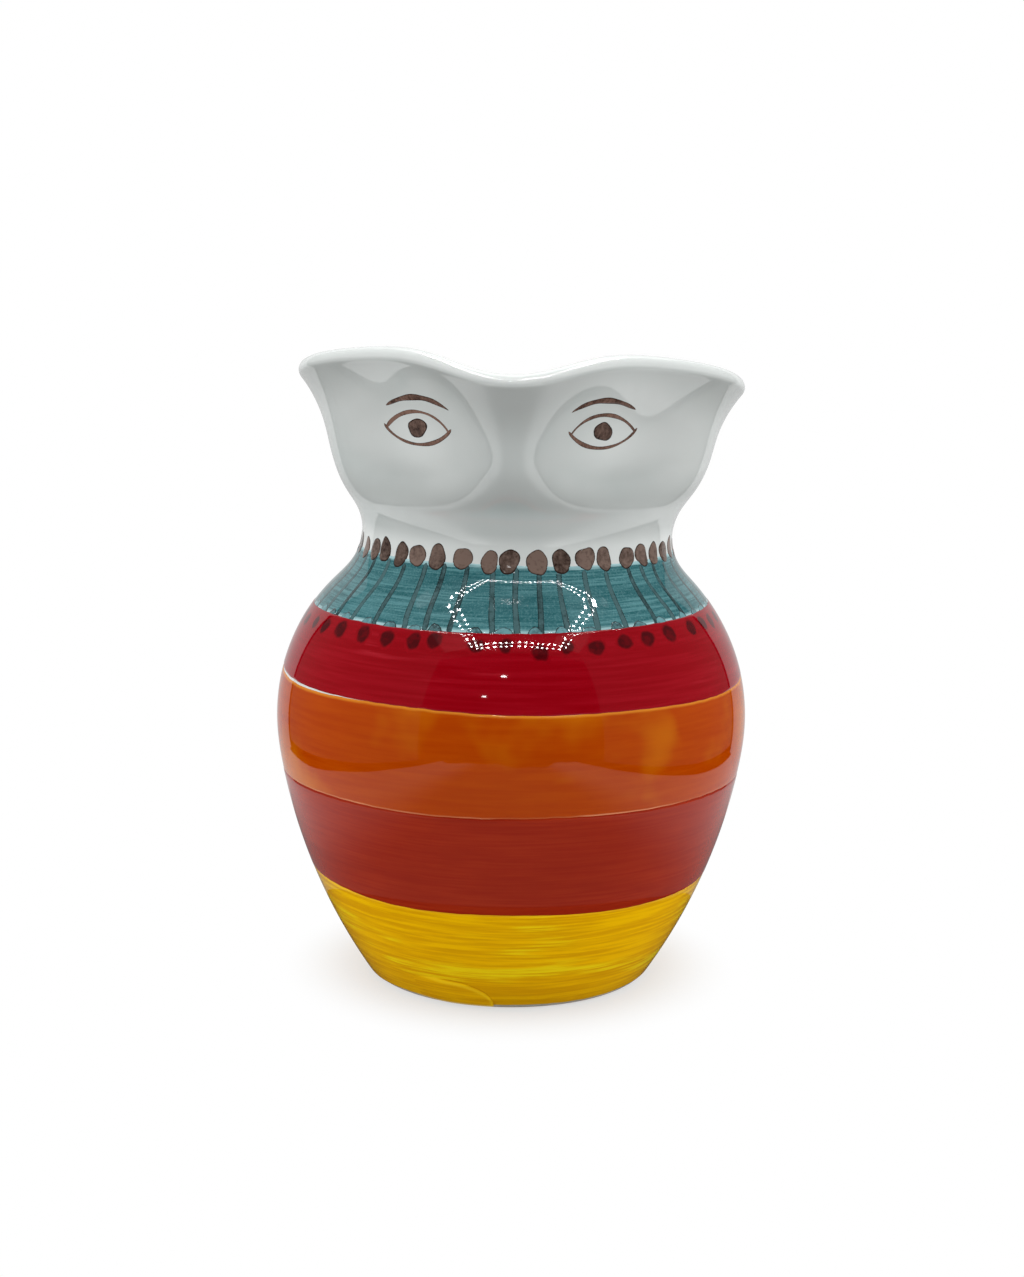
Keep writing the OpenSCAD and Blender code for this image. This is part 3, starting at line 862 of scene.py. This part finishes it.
def add_bands():
    """The five painted bands, each edge with its own slant and wobble, and a slit where two don't meet.

    Gives the heights of the collar's lower and upper edge, per column.
    """
    turn = around(COLUMNS)

    def edge(z, slant, toward, seed):
        slow = slant * np.cos(turn - toward * DEGREE)
        return z + slow + waver(turn, 3, 7, 0.22, seed) + waver(turn, 24, 80, 0.05, seed + 50)

    foot_edge = edge(YELLOW_LOW - FOOT_EDGE_R / 2, 0.2, 40, 11)
    red_edge = edge(YELLOW_TOP, 0.5, -120, 12)
    orange_edge = edge(LOWER_RED_TOP, 0.4, 10, 13)
    crimson_edge = edge(ORANGE_TOP, 0.9, -110, 14)
    teal_edge = edge(UPPER_RED_TOP, 0.7, 110, 15)
    collar_edge = edge(TEAL_TOP + COLLAR_OVERLAP, 0.3, -60, 16)
    slit = SLIT_W * bell(wrapped(turn) - SLIT_TURN, SLIT_SPREAD) - ORANGE_OVERLAP
    yellow = coat_material("yellow_paint", 34.0, 1050.0, 1.1, yellow_colours)
    add_coat("yellow_coat", foot_edge, red_edge + YELLOW_OVERLAP, COAT_T, yellow,
             "yellow_band")
    brick = coat_material("brick_red_paint", 40.0, 1300.0, 3.7, brick_red_colours)
    add_coat("lower_red_coat", red_edge, orange_edge + BRICK_OVERLAP, RED_T, brick,
             "lower_red_band")
    orange = coat_material("orange_paint", 34.0, 560.0, 8.2, orange_colours)
    add_coat("orange_coat", orange_edge, crimson_edge - slit, COAT_T, orange,
             "orange_band")
    crimson = coat_material("crimson_paint", 28.0, 760.0, CRIMSON_SEED, crimson_colours)
    add_coat("upper_red_coat", crimson_edge, teal_edge + CRIMSON_OVERLAP, RED_T, crimson,
             "upper_red_band")
    teal = coat_material("teal_paint", 46.0, 1900.0, TEAL_SEED, teal_colours)
    add_coat("teal_coat", teal_edge, collar_edge, TEAL_T, teal, "teal_collar")
    return teal_edge, collar_edge


def add_second_stroke():
    """The last stroke of yellow, laid over the first round the foot, with its rounded end in front.

    A grid over turn and run: back from the end the stroke's height grows as a quarter ellipse, and
    its thickness, a domed section, dies away into the first stroke.
    """
    rows = 110
    cols = 36
    end_turn = -5 * DEGREE
    length = 46.0
    round_length = 12.0
    fade_end = 30.0
    stroke_h = 10.5
    stroke_t = COAT_T * 2.2
    feather = 1.6
    low_run = run_at(YELLOW_LOW - FOOT_EDGE_R / 2 + 0.2)
    radius = radius_at(low_run)
    back = np.linspace(0, 1, rows)[:, None] ** 2 * length
    reach = np.sqrt(domed(back / round_length)) + 0.001
    reach = stroke_h * reach * (1 + waver(back / radius, 6, 16, 0.03, 23))
    angle = around(cols)
    across = (1 + np.cos(angle)) / 2
    run = low_run + reach * across
    edge = np.minimum(reach * (1 - across), back * feather)
    faded = 1 - ramp(back, round_length, fade_end)
    over = COAT_T - 0.02 - 0.15 * (1 - faded) + stroke_t * domed(edge / feather) * faded
    height = np.where(np.sin(angle) >= 0, over, -COAT_SINK)
    grid = raised(end_turn - back / radius, run, height)[None]
    values = {"from_low": (run - low_run, 1.0), "edge": (edge + 4 * (1 - faded), [0.0, 4.0])}
    material = coat_material("yellow_over_paint", 34.0, 1050.0, 6.4, yellow_colours_with_painted_edge_light)
    add_ringed("yellow_second_stroke", grid, ring_middles(grid), material, [], values,
               turned=True)


# Brush marks

NECK_DABS = 42
NECK_DAB_W = 6.0
NECK_DAB_H = 7.3
NECK_DAB_T = 0.14
NECK_DAB_RAISE = 2.7
COLLAR_LINES = 44
COLLAR_LINE_W = 1.6
COLLAR_LINE_T = 0.01
COLLAR_LINE_SINK = 0.003
SCALLOPS = 44
SCALLOP_W = 5.2
SCALLOP_H = 5.6
SCALLOP_T = 0.014
SCALLOP_SINK = 0.004
SCALLOP_DROP = 0.5
SPOT_W = 8.0
SPOT_H = 9.0
SPOT_T = 0.016
SPOT_SINK = 0.008
SPOT_DROP = 4.0
SPOT_TURN = 0.015


def on_wall(turn, run):
    """Way to lay a mark on the wall: millimetres across and along to turns and runs."""
    radius = radius_at(run)[:, None, None]
    return lambda across, along: (turn[:, None, None] + across / radius, run[:, None, None] + along)


def from_front(x, z):
    """Way to lay a mark drawn from the front: millimetres across and up to turns and runs."""
    return lambda across, along: seen_from_front(x[:, None, None] + across, z[:, None, None] + along)


def even(height):
    """A base for marks that is equally high everywhere."""
    return lambda turn, run: height


def column_heights(turn, heights):
    """Heights of a band's edge, given per column, at other turns."""
    columns = np.append(around(COLUMNS), 2 * math.pi)
    return np.interp(turn % (2 * math.pi), columns, np.append(heights, heights[0]))


def hand_spaced(count, start, spread):
    """Turns of count marks round the jug, start places on, each off by a random spread."""
    return (np.arange(count) + start) * 2 * math.pi / count + rng.normal(0, spread, count)


def add_marks(name, grids, poles, edge, pole_edge, smooth, material, nodes):
    """Brush marks as one piece, with how near its edge each point is and a random seed per mark."""
    seed = rng.uniform(-0.5, 0.5, len(grids))
    values = {"edge": (edge, pole_edge), "seed": (seed[:, None, None], seed[:, None])}
    add_ringed(name, grids, poles, material, nodes, values, smooth)


def add_dabs(name, lay, shape, base, thick, material, nodes, crown=6):
    """A row of round dabs: rings of an egg outline, domed over the glaze and closed below it.

    shape is each dab's width, height, lean and egg. An outline point at angle a lies
    width/2 * cos a * (1 + egg * sin a) across and height/2 * sin a up, turned by lean; ring r takes
    r of that and stands thick * (1 - r^crown) over the base there.
    """
    rings = 8
    cols = 36
    tiny = 0.001
    angle = -around(cols)
    out_and_back = [[tiny], np.linspace(0.13, 1, rings), np.linspace(0.9, 0.15, 4), [tiny]]
    share = np.concatenate(out_and_back)[:, None]
    over = (np.arange(len(share)) <= rings)[:, None]
    width, height, lean, egg = np.array(shape)[..., None, None]
    order = np.arange(len(width))[:, None, None]
    wobble = 1 + 0.045 * np.sin(2 * angle + 2.7 * order) + 0.04 * np.sin(3 * angle + 4.1 * order)
    wobble = wobble + 0.025 * np.sin(5 * angle + 7.3 * order)
    a = share * wobble * width / 2 * np.cos(angle) * (1 + egg * np.sin(angle))
    b = share * wobble * height / 2 * np.sin(angle)
    turn, run = lay(a * np.cos(lean) - b * np.sin(lean), a * np.sin(lean) + b * np.cos(lean))
    lifted = np.where(over, base(turn, run) + thick * (1 - share**crown), -COAT_SINK)
    grids = raised(turn, run, lifted)
    edge = np.where(over, share, 1.0)
    smooth = np.repeat([*(np.arange(rings + 3) < rings - 1), True, False], cols)
    add_marks(name, grids[:, 1:-1], ring_middles(grids), edge[1:-1], [0.0, 1.0], smooth,
              material, nodes)


def add_lines(name, turn, run, width, base, thick, material, node):
    """Brush lines: a flat oval section, width wide, carried along paths of turn and run.

    Paths are rows of points, copies x points. The section lies across the path in the surface,
    domed by thick over base and closed below the glaze.
    """
    cols = 12
    angle = around(cols)
    radius = radius_at(run)
    step_across = np.gradient(turn, axis=1) * radius
    step_along = np.gradient(run, axis=1)
    length = np.hypot(step_across, step_along)
    side_turn = (-step_along / length / radius)[..., None]
    side_run = (step_across / length)[..., None]
    off = width[..., None] / 2 * np.cos(angle)
    over = np.sin(angle)
    lifted = np.where(over > -0.01, base + thick * over**2, -COAT_SINK)
    grids = raised(turn[..., None] + side_turn * off, run[..., None] + side_run * off, lifted)
    outer = np.tile(np.arange(cols) < cols // 2, turn.shape[1] - 1)
    smooth = np.append(outer, np.zeros(2 * cols, dtype=bool))
    edge = np.abs(np.cos(angle))
    add_marks(name, grids, ring_middles(grids), edge, 1.0, smooth, material, [node])


def add_neck_dabs(collar_edge):
    """Egg-shaped brown dabs round the neck, leaning as the hand turned."""
    turn = hand_spaced(NECK_DABS, -0.2, 0.012)
    ahead = wrapped(turn)
    width = NECK_DAB_W * rng.uniform(0.84, 1.1, NECK_DABS)
    height = NECK_DAB_H * rng.uniform(0.9, 1.08, NECK_DABS)
    lean = 0.14 + 0.26 * np.tanh(1.6 * ahead) * bell(ahead, 1.4) + rng.normal(0, 0.1, NECK_DABS)
    egg = rng.uniform(-0.16, 0.14, NECK_DABS)
    run = run_at(TEAL_TOP) + NECK_DAB_RAISE + rng.normal(0, 0.25, NECK_DABS)
    brown = wash_material("brown_wash", tone(46, 33, 28), tone(118, 99, 90), 0.84, 800.0, WHITE_SEED)

    def teal_below(turn, run):
        into_teal = run_at(column_heights(turn, collar_edge)) - run
        return TEAL_T * ramp(into_teal, 0.0, COAT_FEATHER) - COAT_DROP

    add_dabs("neck_dabs", on_wall(turn, run), (width, height, lean, egg), teal_below, NECK_DAB_T,
             brown, ["upper_beads"])


def add_collar_lines(teal_edge, collar_edge):
    """Dark strokes down the teal collar, each from the dabs to the crimson, a little aslant."""
    points = 30
    start = hand_spaced(COLLAR_LINES, -0.1, 0.014)[:, None]
    slant = rng.normal(0.01, 0.016, COLLAR_LINES)[:, None]
    bend = rng.normal(0, 0.006, COLLAR_LINES)[:, None]
    t = np.linspace(0, 1, points)
    turn = start + slant * t + bend * np.sin(math.pi * t)
    top = run_at(column_heights(start, collar_edge) - rng.uniform(0.4, 1.8, COLLAR_LINES)[:, None])
    low = run_at(column_heights(start, teal_edge) - rng.uniform(0.1, 0.6, COLLAR_LINES)[:, None])
    run = top + (low - top) * t
    tip = np.sqrt(np.clip(1 - (2 * t - 1) ** 24, 0.05, 1))
    width = (COLLAR_LINE_W + 0.45 * t + 0.1 * np.sin(9 * t + start * 31)) * tip
    grey = wash_material("grey_wash", tone(30, 46, 48), tone(72, 102, 105), 0.5, 1000.0, TEAL_SEED)
    base = TEAL_T - COAT_DROP - COLLAR_LINE_SINK
    add_lines("collar_lines", turn, run, width, base, COLLAR_LINE_T, grey,
              "collar_strokes")


def add_scallops(teal_edge):
    """Dabs under the collar: dried outlines that scallop the teal, and dark spots in the crimson."""
    turn = hand_spaced(SCALLOPS, -0.35, 0.012)
    run = run_at(column_heights(turn, teal_edge))
    width = SCALLOP_W * rng.uniform(0.84, 1.14, SCALLOPS)
    height = SCALLOP_H * rng.uniform(0.8, 1.15, SCALLOPS)
    lean = rng.normal(0, 0.14, SCALLOPS)
    egg = rng.uniform(-0.25, 0.05, SCALLOPS)
    grey = wash_material("scallop_wash", tone(38, 48, 50), tone(104, 150, 156), 0.8, 1000.0, TEAL_SEED)
    on_teal = even(TEAL_T - COAT_DROP - SCALLOP_SINK)
    add_dabs("scallop_dabs", on_wall(turn, run - SCALLOP_DROP), (width, height, lean, egg), on_teal,
             SCALLOP_T, grey, [])
    width = SPOT_W * rng.uniform(0.8, 1.15, SCALLOPS)
    height = SPOT_H * rng.uniform(0.8, 1.12, SCALLOPS)
    lean = 0.1 + rng.normal(0, 0.2, SCALLOPS)
    egg = rng.uniform(-0.1, 0.25, SCALLOPS)
    spot_run = run - SPOT_DROP + rng.normal(0, 0.5, SCALLOPS)

    def crimson_below(turn, run):
        into_red = run_at(column_heights(turn, teal_edge) + CRIMSON_OVERLAP) - run
        return coat_height(into_red, RED_T) - SPOT_SINK

    add_dabs("under_collar_dabs", on_wall(turn + SPOT_TURN, spot_run), (width, height, lean, egg),
             crimson_below, SPOT_T, maroon_material(), ["lower_beads"], crown=2)


# Painted eyes

EYE_W = 20.0
EYE_H = 11.0
EYE_LINE_W = 1.2
PUPIL_D = 6.0
BROW_W = 1.6
EYE_MARK_T = 0.1


def add_eyes():
    """Almond outlines of two arcs, round pupils and brow arcs, drawn from the front onto the head."""
    line_brown = wash_material("brown_line_wash", tone(54, 36, 30), tone(122, 94, 82),
                               0.55, 1100.0, WHITE_SEED)
    dab_brown = wash_material("pupil_wash", tone(44, 31, 27), tone(112, 90, 80), 0.8, 800.0, WHITE_SEED)
    middles = np.array([PUPIL_LOW[0] + PUPIL_D / 2, PUPIL_HIGH[0] - PUPIL_D / 2])
    middle_z = (PUPIL_LOW[2] + PUPIL_HIGH[2]) / 2

    def add_brown_lines(name, x, z, width, node):
        turn, run = seen_from_front(x, z)
        add_lines(name, turn, run, width, -COAT_DROP, EYE_MARK_T, line_brown, node)

    points = 48
    arc_r = (EYE_W**2 + EYE_H**2) / (4 * EYE_H)
    half_angle = math.asin(EYE_W / 2 / arc_r)
    angle = np.linspace(-half_angle, half_angle, points)
    way = np.array([1, -1, 1, -1])[:, None]
    x = np.repeat(middles, 2)[:, None] + arc_r * np.sin(angle) * (1 - 0.03 * way)
    z = middle_z + way * (arc_r * np.cos(angle) - arc_r + (EYE_H - EYE_LINE_W) / 2)
    share = np.linspace(0, 1, points)
    order = np.arange(4)[:, None]
    tip = np.sqrt(np.clip(1 - (2 * share - 1) ** 20, 0.03, 1))
    pressed = 0.74 + 0.16 * np.sin(7 * share + 2.1 * order) + 0.08 * np.sin(19 * share + order)
    add_brown_lines("eye_lines", x, z, EYE_LINE_W * pressed * tip, "eye_outlines")

    size = [PUPIL_D, PUPIL_D * 0.97]
    shape = (size, size, [0.0, 0.0], [0.05, -0.05])
    add_dabs("pupil_dabs", from_front(middles, np.full(2, middle_z)), shape, even(-COAT_DROP),
             EYE_MARK_T, dab_brown, ["pupils"])

    points = 44
    middles = middles[:, None]
    length = (BROW_HIGH[0] - BROW_LOW[0]) - (middles[1] - middles[0])
    sag = BROW_HIGH[2] - BROW_LOW[2] - BROW_W / 2
    share = np.linspace(-1, 1, points)
    x = middles + length / 2 * share
    z = np.broadcast_to(BROW_HIGH[2] - BROW_W / 2 - sag * share**2, x.shape)
    pressed = np.sqrt(np.clip(1 - share**2, 0.02, 1)) * (1 + 0.12 * np.sin(8 * share + middles))
    add_brown_lines("brow_lines", x, z, BROW_W * pressed, "brows")


# The jug

white_glaze = white_glaze_material()
add_clay(white_glaze)
add_handle(white_glaze)
teal_edge, collar_edge = add_bands()
add_second_stroke()
add_neck_dabs(collar_edge)
add_collar_lines(teal_edge, collar_edge)
add_scallops(teal_edge)
add_eyes()


# Stage, in metres: pale floor, what the glaze mirrors, and soft lamps

FLOOR_REACH = 4.0
FLOOR_DROP = 0.0002
ROOM_HALF_W = 0.25
ROOM_FRONT_Y = -0.30
ROOM_BACK_Y = 0.165
ROOM_LOW_Z = 0.0006
ROOM_TOP_Z = 0.46
ROOM_FLAP_Z = 0.40
CEILING_HALF_W = 0.14
CEILING_SPLIT_Y = -0.03
PAPER_FRONT_Y = -0.43
SEAM_W = 0.014
FOOT_SHADE_R = 0.088
DARK_REACH = 3.0
SIDE_GLOW = 0.14
BACK_GLOW = 0.62
FRONT_GLOW = 0.1
CEILING_SIDE_GLOW = 0.36
CEILING_BACK_GLOW = 1.2
FOOT_GLOW = 0.03
DARK_GLOW = 0.02
WORLD_FILL = 0.78
WHITE = (1.0, 1.0, 1.0, 1.0)


def stage_piece(name, points, faces, material):
    """A mesh that isn't part of the jug."""
    mesh = bpy.data.meshes.new(name)
    mesh.from_pydata(np.reshape(points, (-1, 3)).tolist(), [], np.array(faces).tolist())
    mesh.materials.append(material)
    piece = bpy.data.objects.new(name, mesh)
    bpy.context.scene.collection.objects.link(piece)
    return piece


def mirrored_piece(name, points, faces, material):
    """A stage piece that shows in reflections and nowhere else."""
    piece = stage_piece(name, points, faces, material)
    piece.visible_camera = False
    piece.visible_diffuse = False
    piece.visible_transmission = False
    piece.visible_volume_scatter = False
    piece.visible_shadow = False


def seen_white():
    """1 for camera, mirror and glass rays, 0 for the rest."""
    path = place("ShaderNodeLightPath")
    seen = calc("MAXIMUM", path["Is Camera Ray"], path["Is Glossy Ray"])
    return calc("MAXIMUM", seen, path["Is Transmission Ray"])


def floor_material():
    """White paper: plain white where it is seen, but for a soft shadow close round the foot."""
    material = new_material("white_paper")
    paper = place("ShaderNodeBsdfDiffuse", {"Color": tone(222, 222, 222)})[0]
    white = place("ShaderNodeEmission", {"Strength": 1.0})[0]
    away = place("ShaderNodeVectorMath", {0: object_place()}, operation="LENGTH")["Value"]
    share = calc("MULTIPLY", seen_white(), step(away, 0.042, 0.075, 0.6, 1.0))
    surface = place("ShaderNodeMixShader", {0: share, 1: paper, 2: white})[0]
    place("ShaderNodeOutputMaterial", {"Surface": surface})
    return material


def glow_material(name, strength):
    """A plain glowing surface."""
    material = new_material(name)
    glow = place("ShaderNodeEmission", {"Strength": strength})[0]
    place("ShaderNodeOutputMaterial", {"Surface": glow})
    return material


def paper_material():
    """Paper as the glaze mirrors it: dim in front of the jug, brighter towards the sides."""
    material = new_material("mirrored_paper")
    bright = step(calc("ABSOLUTE", object_part("X")), 0.09, 0.17, 0.2, 0.68)
    glow = place("ShaderNodeEmission", {"Strength": bright})[0]
    place("ShaderNodeOutputMaterial", {"Surface": glow})
    return material


def level(name, x0, y0, x1, y1, z, strength):
    """A level glowing sheet between two corners, seen in reflections only."""
    corners = [(x0, y0, z), (x1, y0, z), (x1, y1, z), (x0, y1, z)]
    mirrored_piece(name, corners, [range(4)], glow_material(name, strength))


def upright(name, x0, y0, x1, y1, low, top, strength):
    """An upright glowing sheet over a line on the floor, seen in reflections only."""
    corners = [(x0, y0, low), (x1, y1, low), (x1, y1, top), (x0, y0, top)]
    mirrored_piece(name, corners, [range(4)], glow_material(name, strength))


def square(reach):
    """Corners of a square, reach to each side of its middle."""
    return [(-reach, -reach), (reach, -reach), (reach, reach), (-reach, reach)]


def add_floor():
    """A wide level sheet under the foot."""
    corners = [(x, y, -FLOOR_DROP) for x, y in square(FLOOR_REACH)]
    stage_piece("floor", corners, [range(4)], floor_material())


def add_room():
    """What the glaze mirrors: a pale room open at the front, with dark seams at its corners.

    The paper on its floor ends in a wavy edge, and is dark under the foot.
    """
    w = ROOM_HALF_W
    low = ROOM_LOW_Z
    front = ROOM_FRONT_Y
    back = ROOM_BACK_Y
    top = ROOM_TOP_Z
    seam = SEAM_W
    for name, side in (("left", -1), ("right", 1)):
        x = side * w
        upright(f"{name}_side", x, front, x, back - seam, seam, top, SIDE_GLOW)
        upright(f"{name}_low_seam", x, front, x, back, low, seam, 0.0)
        upright(f"{name}_back_seam", x, back - seam, x, back, seam, top, 0.0)
        level(f"{name}_floor_seam", x, PAPER_FRONT_Y, side * (w - seam), back, 2 * low, 0.0)
        level(f"{name}_ceiling", x, front, side * CEILING_HALF_W, CEILING_SPLIT_Y, top,
              CEILING_SIDE_GLOW)
    upright("back_side", -w, back, w, back, low, top, BACK_GLOW)
    upright("front_flap", -w, front, w, front, ROOM_FLAP_Z, top, FRONT_GLOW)
    level("ceiling_front", -CEILING_HALF_W, front, CEILING_HALF_W, CEILING_SPLIT_Y, top, FRONT_GLOW)
    level("ceiling_back", -w, CEILING_SPLIT_Y, w, back, top, CEILING_BACK_GLOW)
    cols = 60
    x = np.linspace(seam - w, w - seam, cols)
    near = PAPER_FRONT_Y + 0.03 * np.sin(23 * x) + 0.015 * np.sin(61 * x + 1.0)
    far = np.full(cols, back)
    flat = np.full(cols, low)
    edges = np.array([[x, near, flat], [x, far, flat]]).transpose(0, 2, 1)
    k = np.arange(cols - 1)
    strips = np.stack([k, k + 1, k + cols + 1, k + cols], axis=-1)
    mirrored_piece("mirrored_paper", edges, strips, paper_material())
    angle = around(cols)
    ring = FOOT_SHADE_R * np.stack([np.cos(angle), np.sin(angle)], axis=-1)
    disc = np.column_stack([ring, np.full(cols, 2 * low)])
    mirrored_piece("foot_shade", disc, [np.arange(cols)], glow_material("foot_shade", FOOT_GLOW))


def add_dark():
    """The dark beyond the room: a large box round it."""
    d = DARK_REACH
    level("dark_floor", -d, -d, d, d, ROOM_LOW_Z / 2, DARK_GLOW)
    level("dark_top", -d, -d, d, d, d, DARK_GLOW)
    corners = square(d)
    for name, start, end in zip(("front", "right", "back", "left"), corners, corners[1:] + corners[:1]):
        upright(f"dark_{name}", *start, *end, ROOM_LOW_Z, d, DARK_GLOW)


LAMP_Z = 0.36
LAMP_SIZE = 0.0045
LAMP_GAP = 0.017
LAMPS_A_ROW = 15
LAMP_GLOW = 140.0
SINGLE_LAMP_GLOW = 60.0
LAMP_ROWS = (
    ((-0.088, -0.238), (0.122, -0.234), (0, 1)),
    ((-0.104, -0.225), (-0.128, 0.02), (1, 0)),
    ((0.138, -0.220), (0.166, 0.02), (-1, 0)),
)


def add_lamp_frame():
    """A frame of small square lamps above the jug, two rows a side, and two single lamps in front.

    A row of LAMP_ROWS is where it starts and ends, and the way to its second row.
    """
    start, end, inward = np.array(LAMP_ROWS).transpose(1, 0, 2)
    inset = np.array([0.0, LAMP_GAP])[:, None, None]
    middles = np.linspace(start + inset * inward, end + inset * inward, LAMPS_A_ROW).reshape(-1, 1, 2)
    flat = middles + square(LAMP_SIZE / 2)
    points = np.concatenate([flat, np.full((*flat.shape[:2], 1), LAMP_Z)], axis=-1)
    quads = np.arange(len(middles) * 4).reshape(-1, 4)
    mirrored_piece("lamp_frame", points, quads, glow_material("small_lamps", LAMP_GLOW))
    level("near_lamp", -0.035, -0.399, -0.017, -0.387, LAMP_Z, SINGLE_LAMP_GLOW)
    level("far_lamp", -0.149, -0.609, -0.129, -0.593, LAMP_Z, SINGLE_LAMP_GLOW)


def add_soft_lamp(name, place_at, look_at, width, height, strength):
    """A soft rectangular lamp whose face is as bright as strength times white."""
    light = bpy.data.lights.new(name, "AREA")
    light.shape = "RECTANGLE"
    light.size = width
    light.size_y = height
    light.energy = strength * math.pi * width * height
    lamp = bpy.data.objects.new(name, light)
    lamp.location = place_at
    x, y, z = np.array(look_at) - np.array(place_at)
    lamp.rotation_euler = (math.atan2(math.hypot(x, y), -z), 0.0, math.atan2(-x, y))
    lamp.visible_camera = False
    lamp.visible_glossy = False
    bpy.context.scene.collection.objects.link(lamp)


def add_world():
    """White round about where it is seen, and a plain fill for the rest of the light."""
    world = bpy.data.worlds.new("white_room")
    world.use_nodes = True
    start_tree(world.node_tree)
    fill = place("ShaderNodeBackground", {"Color": WHITE, "Strength": WORLD_FILL})[0]
    white = place("ShaderNodeBackground", {"Color": WHITE, "Strength": 1.0})[0]
    surface = place("ShaderNodeMixShader", {0: seen_white(), 1: fill, 2: white})[0]
    place("ShaderNodeOutputWorld", {"Surface": surface})
    bpy.context.scene.world = world


add_floor()
add_room()
add_dark()
add_lamp_frame()
add_world()
add_soft_lamp("left_wall", (-0.42, 0.0, 0.09), (0.0, 0.0, 0.09), 0.55, 0.18, 2.1)
add_soft_lamp("right_wall", (0.42, 0.0, 0.09), (0.0, 0.0, 0.09), 0.55, 0.18, 2.3)
add_soft_lamp("ceiling", (0.0, -0.08, 0.62), (0.0, 0.0, 0.1), 0.5, 0.5, 2.2)


# Camera at the photograph's viewing angle

CAMERA_BACK = 0.620
CAMERA_HEIGHT = 0.2171
CAMERA_PITCH = 10.10 * DEGREE
CAMERA_ROLL = 0.72 * DEGREE
FOCAL_PIXELS = 1982.2
IMAGE_HEIGHT = 1277
SENSOR = 36.0

camera_data = bpy.data.cameras.new("camera")
camera_data.sensor_width = SENSOR
camera_data.lens = FOCAL_PIXELS / IMAGE_HEIGHT * SENSOR
camera_data.clip_start = 0.01
camera_data.clip_end = 50.0
camera = bpy.data.objects.new("camera", camera_data)
aim = Matrix.Rotation(math.pi / 2 - CAMERA_PITCH, 4, "X") @ Matrix.Rotation(CAMERA_ROLL, 4, "Z")
camera.matrix_world = Matrix.Translation((0.0, -CAMERA_BACK, CAMERA_HEIGHT)) @ aim
bpy.context.scene.collection.objects.link(camera)
bpy.context.scene.camera = camera

bpy.context.scene.view_settings.view_transform = "Standard"

bpy.context.view_layer.update()
